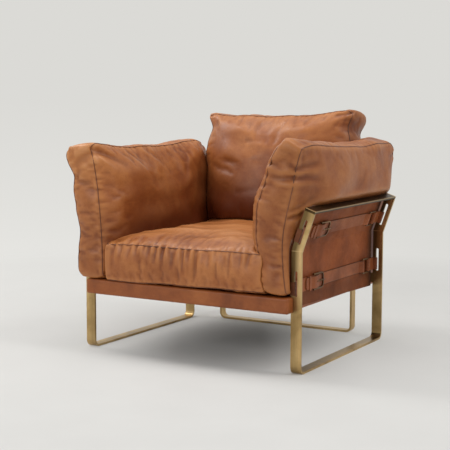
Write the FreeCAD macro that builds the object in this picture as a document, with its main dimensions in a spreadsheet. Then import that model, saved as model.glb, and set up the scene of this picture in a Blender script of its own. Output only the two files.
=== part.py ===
import FreeCAD, Part
import math
import os
import re

import Sketcher

# An armchair on three closed frames of flat bar. Millimetres, +Z up. The origin is on the floor, in
# the middle of the chair's width and depth. The sitter faces -Y, and right means +X, as seen from
# the front. Each frame is a sled, two uprights and a floor runner bent from one bar, with a bow
# welded on it at the kink, and the bow leans outward. Leather panels hang between the uprights on
# buckled straps, whose tabs loop through slots in the bars. Four loose cushions lie on the deck.

Vector = FreeCAD.Vector
Rotation = FreeCAD.Rotation
Placement = FreeCAD.Placement

DOC = FreeCAD.newDocument("armchair")
SHEET = DOC.addObject("Spreadsheet::Sheet", "Sizes")
RULER = DOC.addObject("App::FeaturePython", "Ruler")
RULER.addProperty("App::PropertyFloat", "Reading")

SIZES = [
    # The flat bar of the side frames, and of the back frame
    ("bar_wide", 38),
    ("bar_thick", 8),
    ("back_bar_wide", 34),
    ("bend_inner", 18),
    # The side frames: outer width across both, depth over the uprights, kink and top rail
    ("side_span", 884),
    ("side_depth", 695),
    ("kink_height", 410),
    ("rail_height", 550),
    ("lean_angle", 19),
    # The back frame, behind the rear uprights
    ("back_span", 600),
    ("back_setback", 35),
    ("back_rail_height", 690),
    ("back_lean_angle", 12),
    # The slots for the strap tabs
    ("slot_wide", 11),
    ("slot_long", 86),
    ("slot_inset", 12),
    ("lower_slot_low", 263),
    ("upper_slot_rise", 24),
    ("back_slot_rise", 140),
    # The seat deck: timber rails, webbing, cloth and a leather cover
    ("deck_bottom", 208),
    ("deck_high", 54),
    ("deck_overhang", 40),
    ("deck_front_past", 9),
    ("deck_round", 8),
    ("deck_border", 60),
    ("cover_thick", 3),
    ("timber_wide", 60),
    ("web_wide", 50),
    ("web_thick", 1.5),
    ("cloth_thick", 1),
    # The lugs on the frames and their bolts
    ("lug_size", 36),
    ("bolt_radius", 4),
    ("bolt_head_radius", 7),
    ("bolt_head_high", 5),
    ("bolt_bite", 20),
    ("bore_spare", 2),
    # Clearances, and how far a cut runs past a face
    ("fit_gap", 0.3),
    ("hole_gap", 0.1),
    ("cut_past", 1),
    # The leather panels
    ("panel_thick", 3.5),
    ("panel_low_front", 221),
    ("panel_low_rear", 204),
    ("panel_end_gap", 4),
    ("panel_top_gap", 10),
    # The straps, tabs, buckles and rings
    ("strap_wide", 45),
    ("strap_thick", 3.5),
    ("tab_thick", 3),
    ("lower_strap_level", 290),
    ("upper_strap_rise", 58),
    ("back_strap_rise", 174),
    ("heel_place", 168),
    ("buckle_long", 76),
    ("buckle_wide", 57),
    ("buckle_bar", 4.5),
    ("buckle_round", 17),
    ("buckle_knob", 2),
    ("ring_place", 88),
    ("ring_long", 56),
    ("ring_wide", 57),
    ("ring_round", 8),
    ("billet_long", 66),
    ("keeper_place", 38),
    ("keeper_wide", 12),
    ("keeper_thick", 2),
    ("prong_thick", 3.4),
    ("prong_wrap", 2),
    ("prong_past", 6),
    # The loose cushions: gaps between them, boxings, crowns, and how far their edges draw in
    ("cushion_gap", 0.5),
    ("seam_deep", 3),
    ("seat_side_gap", 15),
    ("seat_rear_gap", 20),
    ("seat_boxing", 132),
    ("seat_crown", 32),
    ("seat_side_draw", 4),
    ("seat_end_draw", 2),
    ("arm_inset", 75),
    ("arm_rear_past", 27),
    ("arm_high", 492),
    ("arm_boxing", 98),
    ("arm_crown", 16),
    ("arm_ear", 6),
    ("arm_lean", 5.5),
    ("arm_top_draw", 10),
    ("arm_end_draw", 6),
    ("arm_foot_draw", 2),
    ("back_side_gap", 23),
    ("back_high", 436),
    ("back_boxing", 136),
    ("back_crown", 32),
    ("back_lean", 15),
    ("back_top_draw", 14),
    ("back_side_draw", 12),
    ("back_foot_draw", 3),
    ("back_top_ear", 12),
    ("back_foot_ear", 14),
]

# Values that follow from the sizes. Each may use the ones above it.
FOLLOW = {
    "side_inner": "(side_span / 2 - bar_wide)",
    "back_reach": "((back_rail_height - kink_height) * tan(back_lean_angle * 1deg) + back_bar_wide)",
    "seam_bulge": "(seam_deep * 0.7)",
    "front_reach": "(deck_overhang + arm_ear + seam_bulge - cushion_gap)",
    "whole_depth": "(front_reach + side_depth + back_setback + back_reach)",
    "front_line": "(front_reach - whole_depth / 2)",
    "rear_line": "(front_line + side_depth)",
    "middle_line": "(front_line + side_depth / 2)",
    "back_line": "(rear_line + back_setback)",
    "slot_corner": "(slot_wide * 0.45)",
    "deck_top": "(deck_bottom + deck_high)",
    "panel_face": "(tab_thick + keeper_thick + fit_gap * 3)",
    "panel_back": "(panel_face + panel_thick)",
    "deck_half": "(side_inner - panel_back - fit_gap)",
    "front_half": "(side_inner + deck_front_past)",
    "deck_rear": "(back_line - panel_back - fit_gap)",
    "deck_front": "(front_line - deck_overhang)",
    "step_line": "(front_line - fit_gap)",
    "timber_half": "(deck_half - cover_thick)",
    "timber_front_half": "(front_half - cover_thick)",
    "lug_low": "(deck_bottom + (deck_high - lug_size) / 2)",
    "lug_middle": "(lug_low + lug_size / 2)",
    "side_lug": "(side_inner - lug_size / 2)",
    "back_lug": "(back_span / 2 - bar_thick - lug_size / 2)",
    "lug_room": "(bar_thick + bolt_head_high + fit_gap * 2)",
    "rail_low": "(deck_bottom + cover_thick + cloth_thick)",
    "rail_top": "(deck_top - cover_thick - web_thick * 2 - fit_gap)",
    "eye_radius": "(tab_thick + fit_gap + buckle_bar / 2)",
    "eye_room": "(buckle_bar / 2 + fit_gap)",
    "eye_out": "(eye_radius - tab_thick - fit_gap)",
    "eye_face": "(eye_out + eye_radius)",
    "tab_skin": "(tab_thick + fit_gap)",
    "tab_flat": "(tab_thick - fit_gap)",
    "tab_bend": "(tab_thick * 0.9)",
    "billet_over": "(eye_face + fit_gap)",
    "billet_flat": "(tab_flat + fit_gap * 2)",
    "tip_round": "(strap_wide * 0.3)",
    "prong_root": "(buckle_bar / 2 + hole_gap)",
    "prong_rest": "(buckle_bar / 2 + fit_gap / 2)",
    "prong_tip": "(prong_thick * 0.7)",
    "prong_slit": "(prong_thick / 2 + fit_gap * 2)",
    "arm_inner_low": "(side_inner - arm_inset)",
    "arm_long": "(deck_overhang + side_depth + arm_rear_past)",
    "seat_wide": "((arm_inner_low - seat_side_gap) * 2)",
    "seat_deep": "(deck_rear - deck_front - cushion_gap - seat_rear_gap)",
    "back_wide": "((arm_inner_low - back_side_gap) * 2)",
    "back_start": "(back_line - back_high / 2 * sin(back_lean * 1deg) - back_boxing / 2 - back_crown * 2)",
}
WORDS = dict(SIZES)

# A cushion's face rises along a quarter wave: the share of its half width that the rise takes, in
# how many steps, and how far round it goes.
CROWN_SHARE = 0.72
CROWN_STEPS = 5
CROWN_TURN = math.radians(78)


def fill_sheet():
    for row, (alias, size) in enumerate(SIZES, start=1):
        SHEET.set("A%d" % row, alias)
        SHEET.set("B%d" % row, str(size))
        SHEET.setAlias("B%d" % row, alias)
    DOC.recompute()


def bound(text):
    """An expression in which each alias reads its cell of the sheet."""

    def swap(match):
        word = match.group()
        if word in FOLLOW:
            return bound(FOLLOW[word])
        return "Sizes." + word if word in WORDS else word

    return re.sub(r"[a-z]+(?:_[a-z]+)+", swap, text)


def value(text):
    """The number that such an expression gives now."""
    RULER.setExpression("Reading", bound(text))
    RULER.recompute()
    return RULER.Reading


def point(*texts):
    return Vector(*[value(text) for text in texts])


def new_body(label, placement=Placement()):
    body = DOC.addObject("PartDesign::Body", label)
    body.Label = label
    body.Placement = placement
    return body


def attach(feature, body, plane, offset):
    """Sets a feature of a body on one of its origin planes, off it by three expressions."""
    support = [part for part in body.Origin.OriginFeatures if part.Role == plane][0]
    feature.AttachmentSupport = (support, [""])
    feature.MapMode = "FlatFace"
    for axis, text in zip("xyz", offset):
        feature.setExpression("AttachmentOffset.Base." + axis, bound(text))


def draw(body, plane, loops, lift="0"):
    """A sketch of closed straight loops, each corner held by two sizes from the sheet."""
    sketch = body.newObject("Sketcher::SketchObject", body.Label + "_sketch")
    attach(sketch, body, plane, ("0", "0", lift))
    for corners in loops:
        first = sketch.GeometryCount
        count = len(corners)
        points = [Vector(value(across), value(up), 0) for across, up in corners]
        for i in range(count):
            sketch.addGeometry(Part.LineSegment(points[i], points[(i + 1) % count]), False)
        for i in range(count):
            sketch.addConstraint(Sketcher.Constraint("Coincident", first + i, 2, first + (i + 1) % count, 1))
        for i, (across, up) in enumerate(corners):
            for kind, text, start in (("DistanceX", across, points[i].x), ("DistanceY", up, points[i].y)):
                place = sketch.addConstraint(Sketcher.Constraint(kind, -1, 1, first + i, 1, start))
                sketch.setExpression("Constraints[%d]" % place, bound(text))
    return sketch


def rectangle(low_across, low_up, high_across, high_up):
    return [(low_across, low_up), (high_across, low_up), (high_across, high_up), (low_across, high_up)]


def pad(body, sketch, length, midplane=False):
    feature = body.newObject("PartDesign::Pad", body.Label + "_pad")
    feature.Profile = sketch
    feature.Midplane = midplane
    feature.setExpression("Length", bound(length))
    body.Tip = feature
    DOC.recompute()


def pocket(body, sketch, length=None):
    """A cut along the sketch's normal, or right through both ways where no length is given."""
    before = body.Shape.Volume
    feature = body.newObject("PartDesign::Pocket", body.Label + "_pocket")
    feature.Profile = sketch
    if length is None:
        feature.Type = "ThroughAll"
        feature.Midplane = True
    else:
        feature.Reversed = True
        feature.setExpression("Length", bound(length))
    body.Tip = feature
    DOC.recompute()
    if body.Shape.Volume > before - 0.01:
        raise RuntimeError(body.Label + ": a pocket cuts nothing")


def cylinder(body, kind, plane, radius, height, offset):
    """A cylinder, Additive or Subtractive, square to a plane of the body."""
    feature = body.newObject("PartDesign::%sCylinder" % kind, body.Label + "_cylinder")
    feature.setExpression("Radius", bound(radius))
    feature.setExpression("Height", bound(height))
    attach(feature, body, plane, offset)
    body.Tip = feature
    DOC.recompute()


def fillet(body, radius, wanted):
    """Rounds the edges for which wanted(edge) is true."""
    base = body.Tip
    names = ["Edge%d" % i for i, edge in enumerate(base.Shape.Edges, start=1) if wanted(edge)]
    if not names:
        raise RuntimeError(body.Label + ": no edge to round")
    feature = body.newObject("PartDesign::Fillet", body.Label + "_fillet")
    feature.Base = (base, names)
    feature.setExpression("Radius", bound(radius))
    body.Tip = feature
    DOC.recompute()


def runs_along(edge, axis):
    """True for a straight edge along an axis of the body, 0, 1 or 2."""
    if len(edge.Vertexes) != 2:
        return False
    step = edge.Vertexes[1].Point - edge.Vertexes[0].Point
    return abs(abs(step[axis]) - step.Length) < 1e-6 and abs(step.Length - edge.Length) < 1e-6


def along_at(axis, **places):
    """A test for straight edges along an axis, whose middles have each named coordinate, or its mirror."""
    wanted = {name: abs(value(text)) for name, text in places.items()}

    def test(edge):
        middle = edge.CenterOfMass
        return runs_along(edge, axis) and all(
            abs(abs(getattr(middle, name)) - size) < 0.1 for name, size in wanted.items())

    return test


def block(name, size, corner, placement=Placement()):
    """A box of three lengths at a corner, in the axes of a placement."""
    box = DOC.addObject("Part::Box", name)
    for side, text in zip(("Length", "Width", "Height"), size):
        box.setExpression(side, bound(text))
    box.Placement = placement * Placement(point(*corner), Rotation())
    return box


def rod(name, radius, height, start, way):
    """A cylinder along y, towards higher y where way is 1 and lower y where it is -1."""
    bar = DOC.addObject("Part::Cylinder", name)
    bar.setExpression("Radius", bound(radius))
    bar.setExpression("Height", bound(height))
    bar.Placement = Placement(point(*start), Rotation(Vector(1, 0, 0), -90 * way))
    return bar


def join(kind, name, base, tool):
    """A Part boolean of two objects, Cut or Fuse."""
    result = DOC.addObject("Part::" + kind, name)
    result.Base = base
    result.Tool = tool
    result.Refine = True
    return result


def group(label, members):
    """Like pieces that share one node."""
    compound = DOC.addObject("Part::Compound", label)
    compound.Label = label
    compound.Links = members
    DOC.recompute()


fill_sheet()

# The three frames. In each frame's own axes x is outward from the inner edge of the bars, y runs
# along the frame from its middle and z is up. The placement sets the frame in the chair.
RIGHT = Placement(point("side_inner", "middle_line", "0"), Rotation(Vector(0, 0, 1), 0))
LEFT = Placement(point("-side_inner", "middle_line", "0"), Rotation(Vector(0, 0, 1), 180))
BACK = Placement(point("0", "back_line", "0"), Rotation(Vector(0, 0, 1), 90))


class Frame:
    """One frame: its placement and the names of the sizes that differ between the sides and the back."""

    def __init__(self, name, placement, back, front):
        self.name = name
        self.placement = placement
        self.back = back
        # 1 where the buckled end lies at high y in the frame's own axes, and -1 where it lies at low y
        self.front = front
        self.wide = "back_bar_wide" if back else "bar_wide"
        self.span = "back_span" if back else "side_depth"
        self.half = "(%s / 2)" % self.span
        self.rail = "back_rail_height" if back else "rail_height"
        self.lean = "back_lean_angle" if back else "lean_angle"
        self.slot_rise = "back_slot_rise" if back else "upper_slot_rise"
        self.strap_rise = "back_strap_rise" if back else "upper_strap_rise"
        self.step = "(%s * tan(%s * 1deg / 2))" % (self.wide, self.lean)
        self.inner_kink = "(kink_height + %s)" % self.step
        self.bow_long = "((%s - kink_height) / cos(%s * 1deg))" % (self.rail, self.lean)

    def bow_place(self):
        """The bow's own axes: the origin at the outer edge of the kink, z up along the bow."""
        kink = point(self.wide, "0", "kink_height")
        return self.placement * Placement(kink, Rotation(Vector(0, 1, 0), value(self.lean)))

    def strap_place(self, upper):
        """A strap's own axes: x outward from the bars' inner edges, z up along them, z 0 in its middle."""
        if not upper:
            return self.placement * Placement(point("0", "0", "lower_strap_level"), Rotation())
        turn = Rotation(Vector(0, 1, 0), value(self.lean))
        rise = turn.multVec(point("0", "0", self.strap_rise))
        return self.placement * Placement(point("0", "0", self.inner_kink) + rise, turn)

    def from_end(self, text, kind="buckle"):
        """A place along the frame, measured inward from the outer face of the upright at one end."""
        sign = self.front if kind == "buckle" else -self.front
        return "(%d) * (%s - (%s))" % (sign, self.half, text)

    def from_heel(self, text):
        """A place along the frame, measured from the buckle's heel bar towards the ring."""
        return self.from_end("heel_place + (%s)" % text)

    def from_ring(self, text):
        """A place along the frame, measured from the ring's near bar towards the buckle."""
        return self.from_end("ring_place + ring_long / 2 - buckle_bar / 2 + (%s)" % text, "ring")


FRAMES = [Frame("left", LEFT, False, 1), Frame("right", RIGHT, False, -1), Frame("back", BACK, True, -1)]


def level_name(upper):
    return "upper" if upper else "lower"


def slots(body, frame, low, inner):
    """The slots for the strap tabs, cut through both uprights at once."""
    near = "%s + slot_inset" % inner
    far = "%s + slot_inset + slot_wide" % inner
    pocket(body, draw(body, "XZ_Plane", [rectangle(near, low, far, "%s + slot_long" % low)]))
    ends = [value(low), value(low) + value("slot_long")]
    sides = [value(near), value(far)]

    def corner(edge):
        middle = edge.CenterOfMass
        at_end = min(abs(middle.z - end) for end in ends) < 0.1
        return runs_along(edge, 1) and at_end and min(abs(middle.x - side) for side in sides) < 0.1

    fillet(body, "slot_corner", corner)


def lower_sled(frame):
    """Two uprights and the floor runner, bent from one flat bar, with a mitred top."""
    body = new_body(frame.name + "_lower_sled", frame.placement)
    half = frame.half
    top = frame.inner_kink
    outline = [
        ("-" + half, top), ("-" + half, "0"), (half, "0"), (half, top),
        (half + " - bar_thick", top), (half + " - bar_thick", "bar_thick"),
        ("bar_thick - " + half, "bar_thick"), ("bar_thick - " + half, top),
    ]
    pad(body, draw(body, "YZ_Plane", [outline]), frame.wide)
    fillet(body, "bend_inner + bar_thick", along_at(0, z="0"))
    fillet(body, "bend_inner", along_at(0, z="bar_thick"))
    mitre = [("0", top), (frame.wide, "kink_height"), (frame.wide, top)]
    pocket(body, draw(body, "XZ_Plane", [mitre]))
    slots(body, frame, "lower_slot_low", "0")


def upper_bow(frame):
    """Two leaning uprights and the top rail, mitred at the corners and at the kink."""
    body = new_body(frame.name + "_upper_bow", frame.bow_place())
    half = frame.half
    low = "-" + frame.step
    high = frame.bow_long
    outline = [
        ("-" + half, low), ("bar_thick - " + half, low), ("bar_thick - " + half, high + " - bar_thick"),
        (half + " - bar_thick", high + " - bar_thick"), (half + " - bar_thick", low), (half, low),
        (half, high), ("-" + half, high),
    ]
    pad(body, draw(body, "YZ_Plane", [outline], "-" + frame.wide), frame.wide)
    mitre = [("-" + frame.wide, low), ("0", low), ("0", "0")]
    pocket(body, draw(body, "XZ_Plane", [mitre]))
    slots(body, frame, frame.slot_rise, "-" + frame.wide)


def panel(frame):
    """A leather panel that hangs inboard of the uprights and follows their kink."""
    body = new_body(frame.name + "_panel", frame.placement)
    half = "(%s - bar_thick - panel_end_gap)" % frame.half
    lean = "(%s * 1deg)" % frame.lean
    reach = "(%s + %s - bar_thick - panel_top_gap)" % (frame.bow_long, frame.step)
    low = "panel_low_rear"

    def top(back):
        across = "%s * sin(%s) - %s * cos(%s)" % (reach, lean, back, lean)
        return across, "%s + %s * cos(%s) + %s * sin(%s)" % (frame.inner_kink, reach, lean, back, lean)

    def bend(back):
        return "-" + back, "%s + %s * tan(%s / 2)" % (frame.inner_kink, back, lean)

    outline = [
        ("-panel_back", low), ("-panel_face", low), bend("panel_face"),
        top("panel_face"), top("panel_back"), bend("panel_back"),
    ]
    pad(body, draw(body, "XZ_Plane", [outline]), half + " * 2", midplane=True)
    if frame.back:
        loops = []
        for sign in ("", "-"):
            near = "%s(%s - bar_thick - lug_size)" % (sign, frame.half)
            far = "%s(%s + cut_past)" % (sign, half)
            loops.append(rectangle(near, low + " - cut_past", far, "lug_low + lug_size + panel_end_gap"))
        pocket(body, draw(body, "YZ_Plane", loops))
    else:
        front = "(%d) * %s" % (frame.front, half)
        rear = "(%d) * %s" % (-frame.front, half)
        pocket(body, draw(body, "YZ_Plane", [[(rear, low), (front, "panel_low_front"), (front, low)]]))


def tab(frame, upper, kind):
    """A strap tab: a leather loop round the inner half of an upright, with an eye for a bar."""
    body = new_body("%s_%s_%s_tab" % (frame.name, level_name(upper), kind), frame.strap_place(upper))
    place = "heel_place" if kind == "buckle" else "(ring_place - ring_long / 2 + buckle_bar / 2)"
    through = "(slot_inset + fit_gap + tab_thick)"

    def along(text):
        return frame.from_end(text, kind)

    outline = [
        ("-tab_skin", along("-tab_skin")), (through, along("-tab_skin")),
        (through, along("bar_thick + tab_skin")), ("tab_flat", along("bar_thick + tab_skin")),
        ("tab_flat", along(place + " - eye_radius * 2")), ("eye_face", along(place + " - eye_radius / 2")),
        ("eye_face", along(place + " + eye_radius / 2")), ("tab_flat", along(place + " + eye_radius")),
        ("-tab_skin", along(place + " + eye_radius")),
    ]
    cell = rectangle("-fit_gap", along("-fit_gap"), "slot_inset + fit_gap", along("bar_thick + fit_gap"))
    eye = rectangle("eye_out - eye_room", along(place + " - eye_room"),
                    "eye_out + eye_room", along(place + " + eye_room"))
    pad(body, draw(body, "XY_Plane", [outline, cell, eye]), "strap_wide", midplane=True)
    fillet(body, "tab_bend", along_at(2, y=along("-tab_skin")))
    if kind == "buckle":
        clear = rectangle(along(place + " - eye_radius - fit_gap"), "-prong_slit",
                          along(place + " + eye_radius * 2"), "prong_slit")
        pocket(body, draw(body, "YZ_Plane", [clear]))


def strap(frame, upper):
    """The strap on the panel: folded round the ring at one end, threaded through the buckle at the other."""
    body = new_body("%s_%s_strap" % (frame.name, level_name(upper)), frame.strap_place(upper))
    from_heel = frame.from_heel
    from_ring = frame.from_ring
    lie = "(-panel_face)"
    lie_top = "(strap_thick - panel_face)"
    over_top = "(billet_over + strap_thick)"
    flat_top = "(billet_flat + strap_thick)"
    ramp_end = "buckle_long - buckle_bar * 1.5"
    outline = [
        (lie, from_ring("-eye_radius")), ("eye_face", from_ring("-eye_radius")),
        ("eye_face", from_ring("eye_radius / 2")), (lie_top, from_ring("eye_radius * 3.5")),
        (lie_top, from_heel(ramp_end)), (over_top, from_heel("eye_radius")),
        (over_top, from_heel("-eye_radius")), (flat_top, from_heel("-eye_radius * 4")),
        (flat_top, from_heel("-billet_long")), ("billet_flat", from_heel("-billet_long")),
        ("billet_flat", from_heel("-eye_radius * 4")), ("billet_over", from_heel("-eye_radius")),
        ("billet_over", from_heel("eye_radius")), (lie, from_heel(ramp_end)),
    ]
    eye = rectangle("eye_out - eye_room", from_ring("-eye_room"), "eye_out + eye_room", from_ring("eye_room"))
    pad(body, draw(body, "XY_Plane", [outline, eye]), "strap_wide", midplane=True)
    hole = rectangle(from_heel("eye_radius * 1.6"), "-prong_slit",
                     from_heel("buckle_long * 0.8"), "prong_slit")
    pocket(body, draw(body, "YZ_Plane", [hole]))
    fillet(body, "tip_round", along_at(0, y=from_heel("-billet_long"), z="strap_wide / 2"))


def buckle(frame, upper):
    """The buckle's frame: a D of square bar with a round heel bar across its open end."""
    body = new_body("%s_%s_buckle" % (frame.name, level_name(upper)), frame.strap_place(upper))
    half = "(buckle_wide / 2)"
    slim = "(buckle_wide / 2 - buckle_bar)"
    heel = frame.from_heel("-buckle_bar / 2")
    tip = frame.from_heel("buckle_long")
    inner_tip = frame.from_heel("buckle_long - buckle_bar")
    outline = [
        (heel, "-" + half), (tip, "-" + half), (tip, half), (heel, half),
        (heel, slim), (inner_tip, slim), (inner_tip, "-" + slim), (heel, "-" + slim),
    ]
    pad(body, draw(body, "YZ_Plane", [outline], "eye_out - buckle_bar / 2"), "buckle_bar")
    fillet(body, "buckle_round", along_at(0, y=tip))
    fillet(body, "buckle_round - buckle_bar", along_at(0, y=inner_tip))
    cylinder(body, "Additive", "XY_Plane", "buckle_bar / 2", "buckle_wide + buckle_knob * 2",
             ("eye_out", frame.from_heel("0"), "-(buckle_wide / 2 + buckle_knob)"))


def prong(frame, upper):
    """The prong: an eye round the heel bar and a tongue that rests on the buckle's far bar."""
    body = new_body("%s_%s_prong" % (frame.name, level_name(upper)), frame.strap_place(upper))
    root = frame.from_heel("buckle_bar / 2")
    bar = frame.from_heel("buckle_long - buckle_bar")
    far = frame.from_heel("buckle_long + prong_past")
    outline = [
        ("eye_out - prong_thick / 2", root), ("eye_out + prong_rest", bar), ("eye_out + prong_rest", far),
        ("eye_out + prong_rest + prong_tip", far), ("eye_out + prong_rest + prong_thick", bar),
        ("eye_out + prong_thick / 2", root),
    ]
    pad(body, draw(body, "XY_Plane", [outline]), "prong_thick", midplane=True)
    middle = ("eye_out", frame.from_heel("0"), "-prong_thick / 2")
    cylinder(body, "Additive", "XY_Plane", "prong_root + prong_wrap", "prong_thick", middle)
    cylinder(body, "Subtractive", "XY_Plane", "prong_root", "prong_thick", middle)


def ring(frame, upper):
    """The ring that joins the strap to its rear tab."""
    body = new_body("%s_%s_ring" % (frame.name, level_name(upper)), frame.strap_place(upper))
    half = "(ring_wide / 2)"
    slim = "(ring_wide / 2 - buckle_bar)"

    def along(text):
        return frame.from_end("ring_place + (%s)" % text, "ring")

    outer = rectangle(along("-ring_long / 2"), "-" + half, along("ring_long / 2"), half)
    inner = rectangle(along("buckle_bar - ring_long / 2"), "-" + slim,
                      along("ring_long / 2 - buckle_bar"), slim)
    pad(body, draw(body, "YZ_Plane", [outer, inner], "eye_out - buckle_bar / 2"), "buckle_bar")
    fillet(body, "ring_round", along_at(0, z=half))


def keepers():
    """The small loops that hold each strap's end down on its tab, one to a strap."""
    bands = []
    low = "(-tab_thick - fit_gap * 2 - keeper_thick)"
    deep = "(billet_flat + strap_thick + fit_gap + keeper_thick - %s)" % low
    slim = "(%s - keeper_thick * 2)" % deep
    half = "(strap_wide / 2 + fit_gap + keeper_thick)"
    for frame in FRAMES:
        for upper in (True, False):
            name = "%s_%s_keeper" % (frame.name, level_name(upper))
            place = frame.strap_place(upper)
            start = frame.from_end("heel_place - keeper_place") + " - keeper_wide / 2"
            outer = block(name + "_outer", (deep, "keeper_wide", half + " * 2"),
                          (low, start, "-" + half), place)
            inner = block(name + "_inner", (slim, "keeper_wide", "(%s - keeper_thick) * 2" % half),
                          (low + " + keeper_thick", start, "keeper_thick - " + half), place)
            bands.append(join("Cut", name, outer, inner))
    group("strap_keepers", bands)


def box_body(label, low, high):
    """A block between two corners, given as expressions."""
    body = new_body(label)
    pad(body, draw(body, "XY_Plane", [rectangle(low[0], low[1], high[0], high[1])], low[2]),
        "(%s) - (%s)" % (high[2], low[2]))
    return body


def bolt_bores(body, middle, low_y, far_y):
    """A pair of bores along y for the lug bolts, to the left and right."""
    for sign in ("", "-"):
        cylinder(body, "Subtractive", "XZ_Plane", "bolt_radius + hole_gap", "(%s) - (%s)" % (far_y, low_y),
                 (sign + middle, "lug_middle", "-(%s)" % far_y))


def deck_timber():
    """The front and rear rails, and the two side rails with notches for the lugs."""
    front = box_body("deck_front_rail", ("-timber_front_half", "deck_front + cover_thick", "rail_low"),
                     ("timber_front_half", "step_line - cover_thick", "rail_top"))
    bolt_bores(front, "side_lug", "front_line - bolt_bite - bore_spare", "front_line")
    rear = box_body("deck_rear_rail", ("-timber_half", "rear_line + fit_gap", "rail_low"),
                    ("timber_half", "deck_rear - cover_thick", "rail_top"))
    bolt_bores(rear, "side_lug", "rear_line", "deck_rear")
    bolt_bores(rear, "back_lug", "rear_line", "deck_rear")
    for name, sign in (("left", "-"), ("right", "")):
        side = box_body("deck_%s_rail" % name,
                        (sign + "(timber_half - timber_wide)", "step_line - cover_thick", "rail_low"),
                        (sign + "timber_half", "rear_line + fit_gap", "rail_top"))
        near = sign + "(side_inner - lug_size - fit_gap)"
        far = sign + "(timber_half + cut_past)"
        notches = [
            rectangle(near, "step_line - cover_thick - cut_past", far, "front_line + lug_room"),
            rectangle(near, "rear_line - lug_room", far, "rear_line + cut_past"),
        ]
        pocket(side, draw(side, "XY_Plane", notches, "rail_low"), "deck_high")


def webbing(counts=(7, 6)):
    """Webbing tacked on the rails: one layer of straps across and one from front to back."""
    straps = []
    deep = "(deck_rear - deck_front - cover_thick * 2)"
    across, along = counts
    for i in range(across):
        pitch = "((rear_line - step_line + cover_thick) / %d)" % across
        start = "step_line - cover_thick + %s * %.1f - web_wide / 2" % (pitch, i + 0.5)
        straps.append(block("web_across", ("timber_half * 2", "web_wide", "web_thick"),
                            ("-timber_half", start, "rail_top")))
    for i in range(along):
        pitch = "((timber_half - timber_wide) * 2 / %d)" % along
        start = "timber_wide - timber_half + %s * %.1f - web_wide / 2" % (pitch, i + 0.5)
        straps.append(block("web_along", ("web_wide", deep, "web_thick"),
                            (start, "deck_front + cover_thick", "rail_top + web_thick")))
    group("seat_webbing", straps)


def deck_cover():
    """The leather round the deck: a thin wall, folded over the rails above and below."""
    body = new_body("deck_cover")

    def tee(inset, front_wide, side_wide):
        return [
            ("-" + front_wide, "deck_front + " + inset), (front_wide, "deck_front + " + inset),
            (front_wide, "step_line - " + inset), (side_wide, "step_line - " + inset),
            (side_wide, "deck_rear - " + inset), ("-" + side_wide, "deck_rear - " + inset),
            ("-" + side_wide, "step_line - " + inset), ("-" + front_wide, "step_line - " + inset),
        ]

    pad(body, draw(body, "XY_Plane", [tee("0", "front_half", "deck_half")], "deck_bottom"), "deck_high")
    corners = along_at(2, y="deck_front", x="front_half")
    front_edges = along_at(0, y="deck_front")
    ends = along_at(1, x="front_half")
    fillet(body, "deck_round", lambda edge: corners(edge) or front_edges(edge) or ends(edge))
    pocket(body, draw(body, "XY_Plane", [tee("cover_thick", "timber_front_half", "timber_half")],
                      "deck_bottom + cover_thick"), "deck_high - cover_thick * 2")
    well = rectangle("timber_wide - timber_half", "step_line - cover_thick",
                     "timber_half - timber_wide", "rear_line + fit_gap")
    pocket(body, draw(body, "XY_Plane", [well], "deck_bottom - cut_past"), "deck_high + cut_past * 2")
    low = "lug_low - fit_gap"
    high = "lug_low + lug_size + fit_gap"
    doors = [
        rectangle("front_line - fit_gap", low, "front_line + lug_room", high),
        rectangle("rear_line - lug_room", low, "rear_line + fit_gap", high),
    ]
    pocket(body, draw(body, "YZ_Plane", doors))
    bolt_bores(body, "side_lug", "step_line - cover_thick - cut_past", "front_line + cut_past")
    bolt_bores(body, "back_lug", "deck_rear - cover_thick - cut_past", "deck_rear + cut_past")


def lugs_and_bolts():
    """Six lugs welded on the uprights and the bolts that hold the deck to them."""
    spots = []
    for sign in ("", "-"):
        spots.append((sign + "side_lug", "front_line", "bar_thick", -1))
        spots.append((sign + "side_lug", "rear_line - bar_thick", "bar_thick", 1))
        spots.append((sign + "back_lug", "back_line - panel_back", "panel_back", -1))
    lugs = []
    bolts = []
    for middle, near, thick, way in spots:
        plate = block("lug_plate", ("lug_size", thick, "lug_size"),
                      (middle + " - lug_size / 2", near, "lug_low"))
        bore = rod("lug_bore", "bolt_radius + hole_gap", thick, (middle, near, "lug_middle"), 1)
        lugs.append(join("Cut", "lug", plate, bore))
        head_face = "%s + %s" % (near, thick) if way < 0 else near
        start = (middle, head_face, "lug_middle")
        shank = rod("bolt_shank", "bolt_radius", "%s + bolt_bite" % thick, start, way)
        head = rod("bolt_head", "bolt_head_radius", "bolt_head_high", start, -way)
        bolts.append(join("Fuse", "bolt", shank, head))
    group("frame_lugs", lugs)
    group("lug_bolts", bolts)


def outline_wire(level, corners, sags):
    """A closed wire of four arcs at one level. A sag below 0 draws the side in between its corners."""
    least = 0.05
    edges = []
    for i, sag in enumerate(sags):
        start = corners[i]
        end = corners[(i + 1) % 4]
        along = (end - start).normalize()
        outward = Vector(along.y, -along.x, 0)
        bow = (start + end) / 2 + outward * (sag if abs(sag) > least else least)
        edges.append(Part.Arc(*[Vector(spot.x, spot.y, level) for spot in (start, bow, end)]).toShape())
    return Part.Wire(edges)


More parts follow.
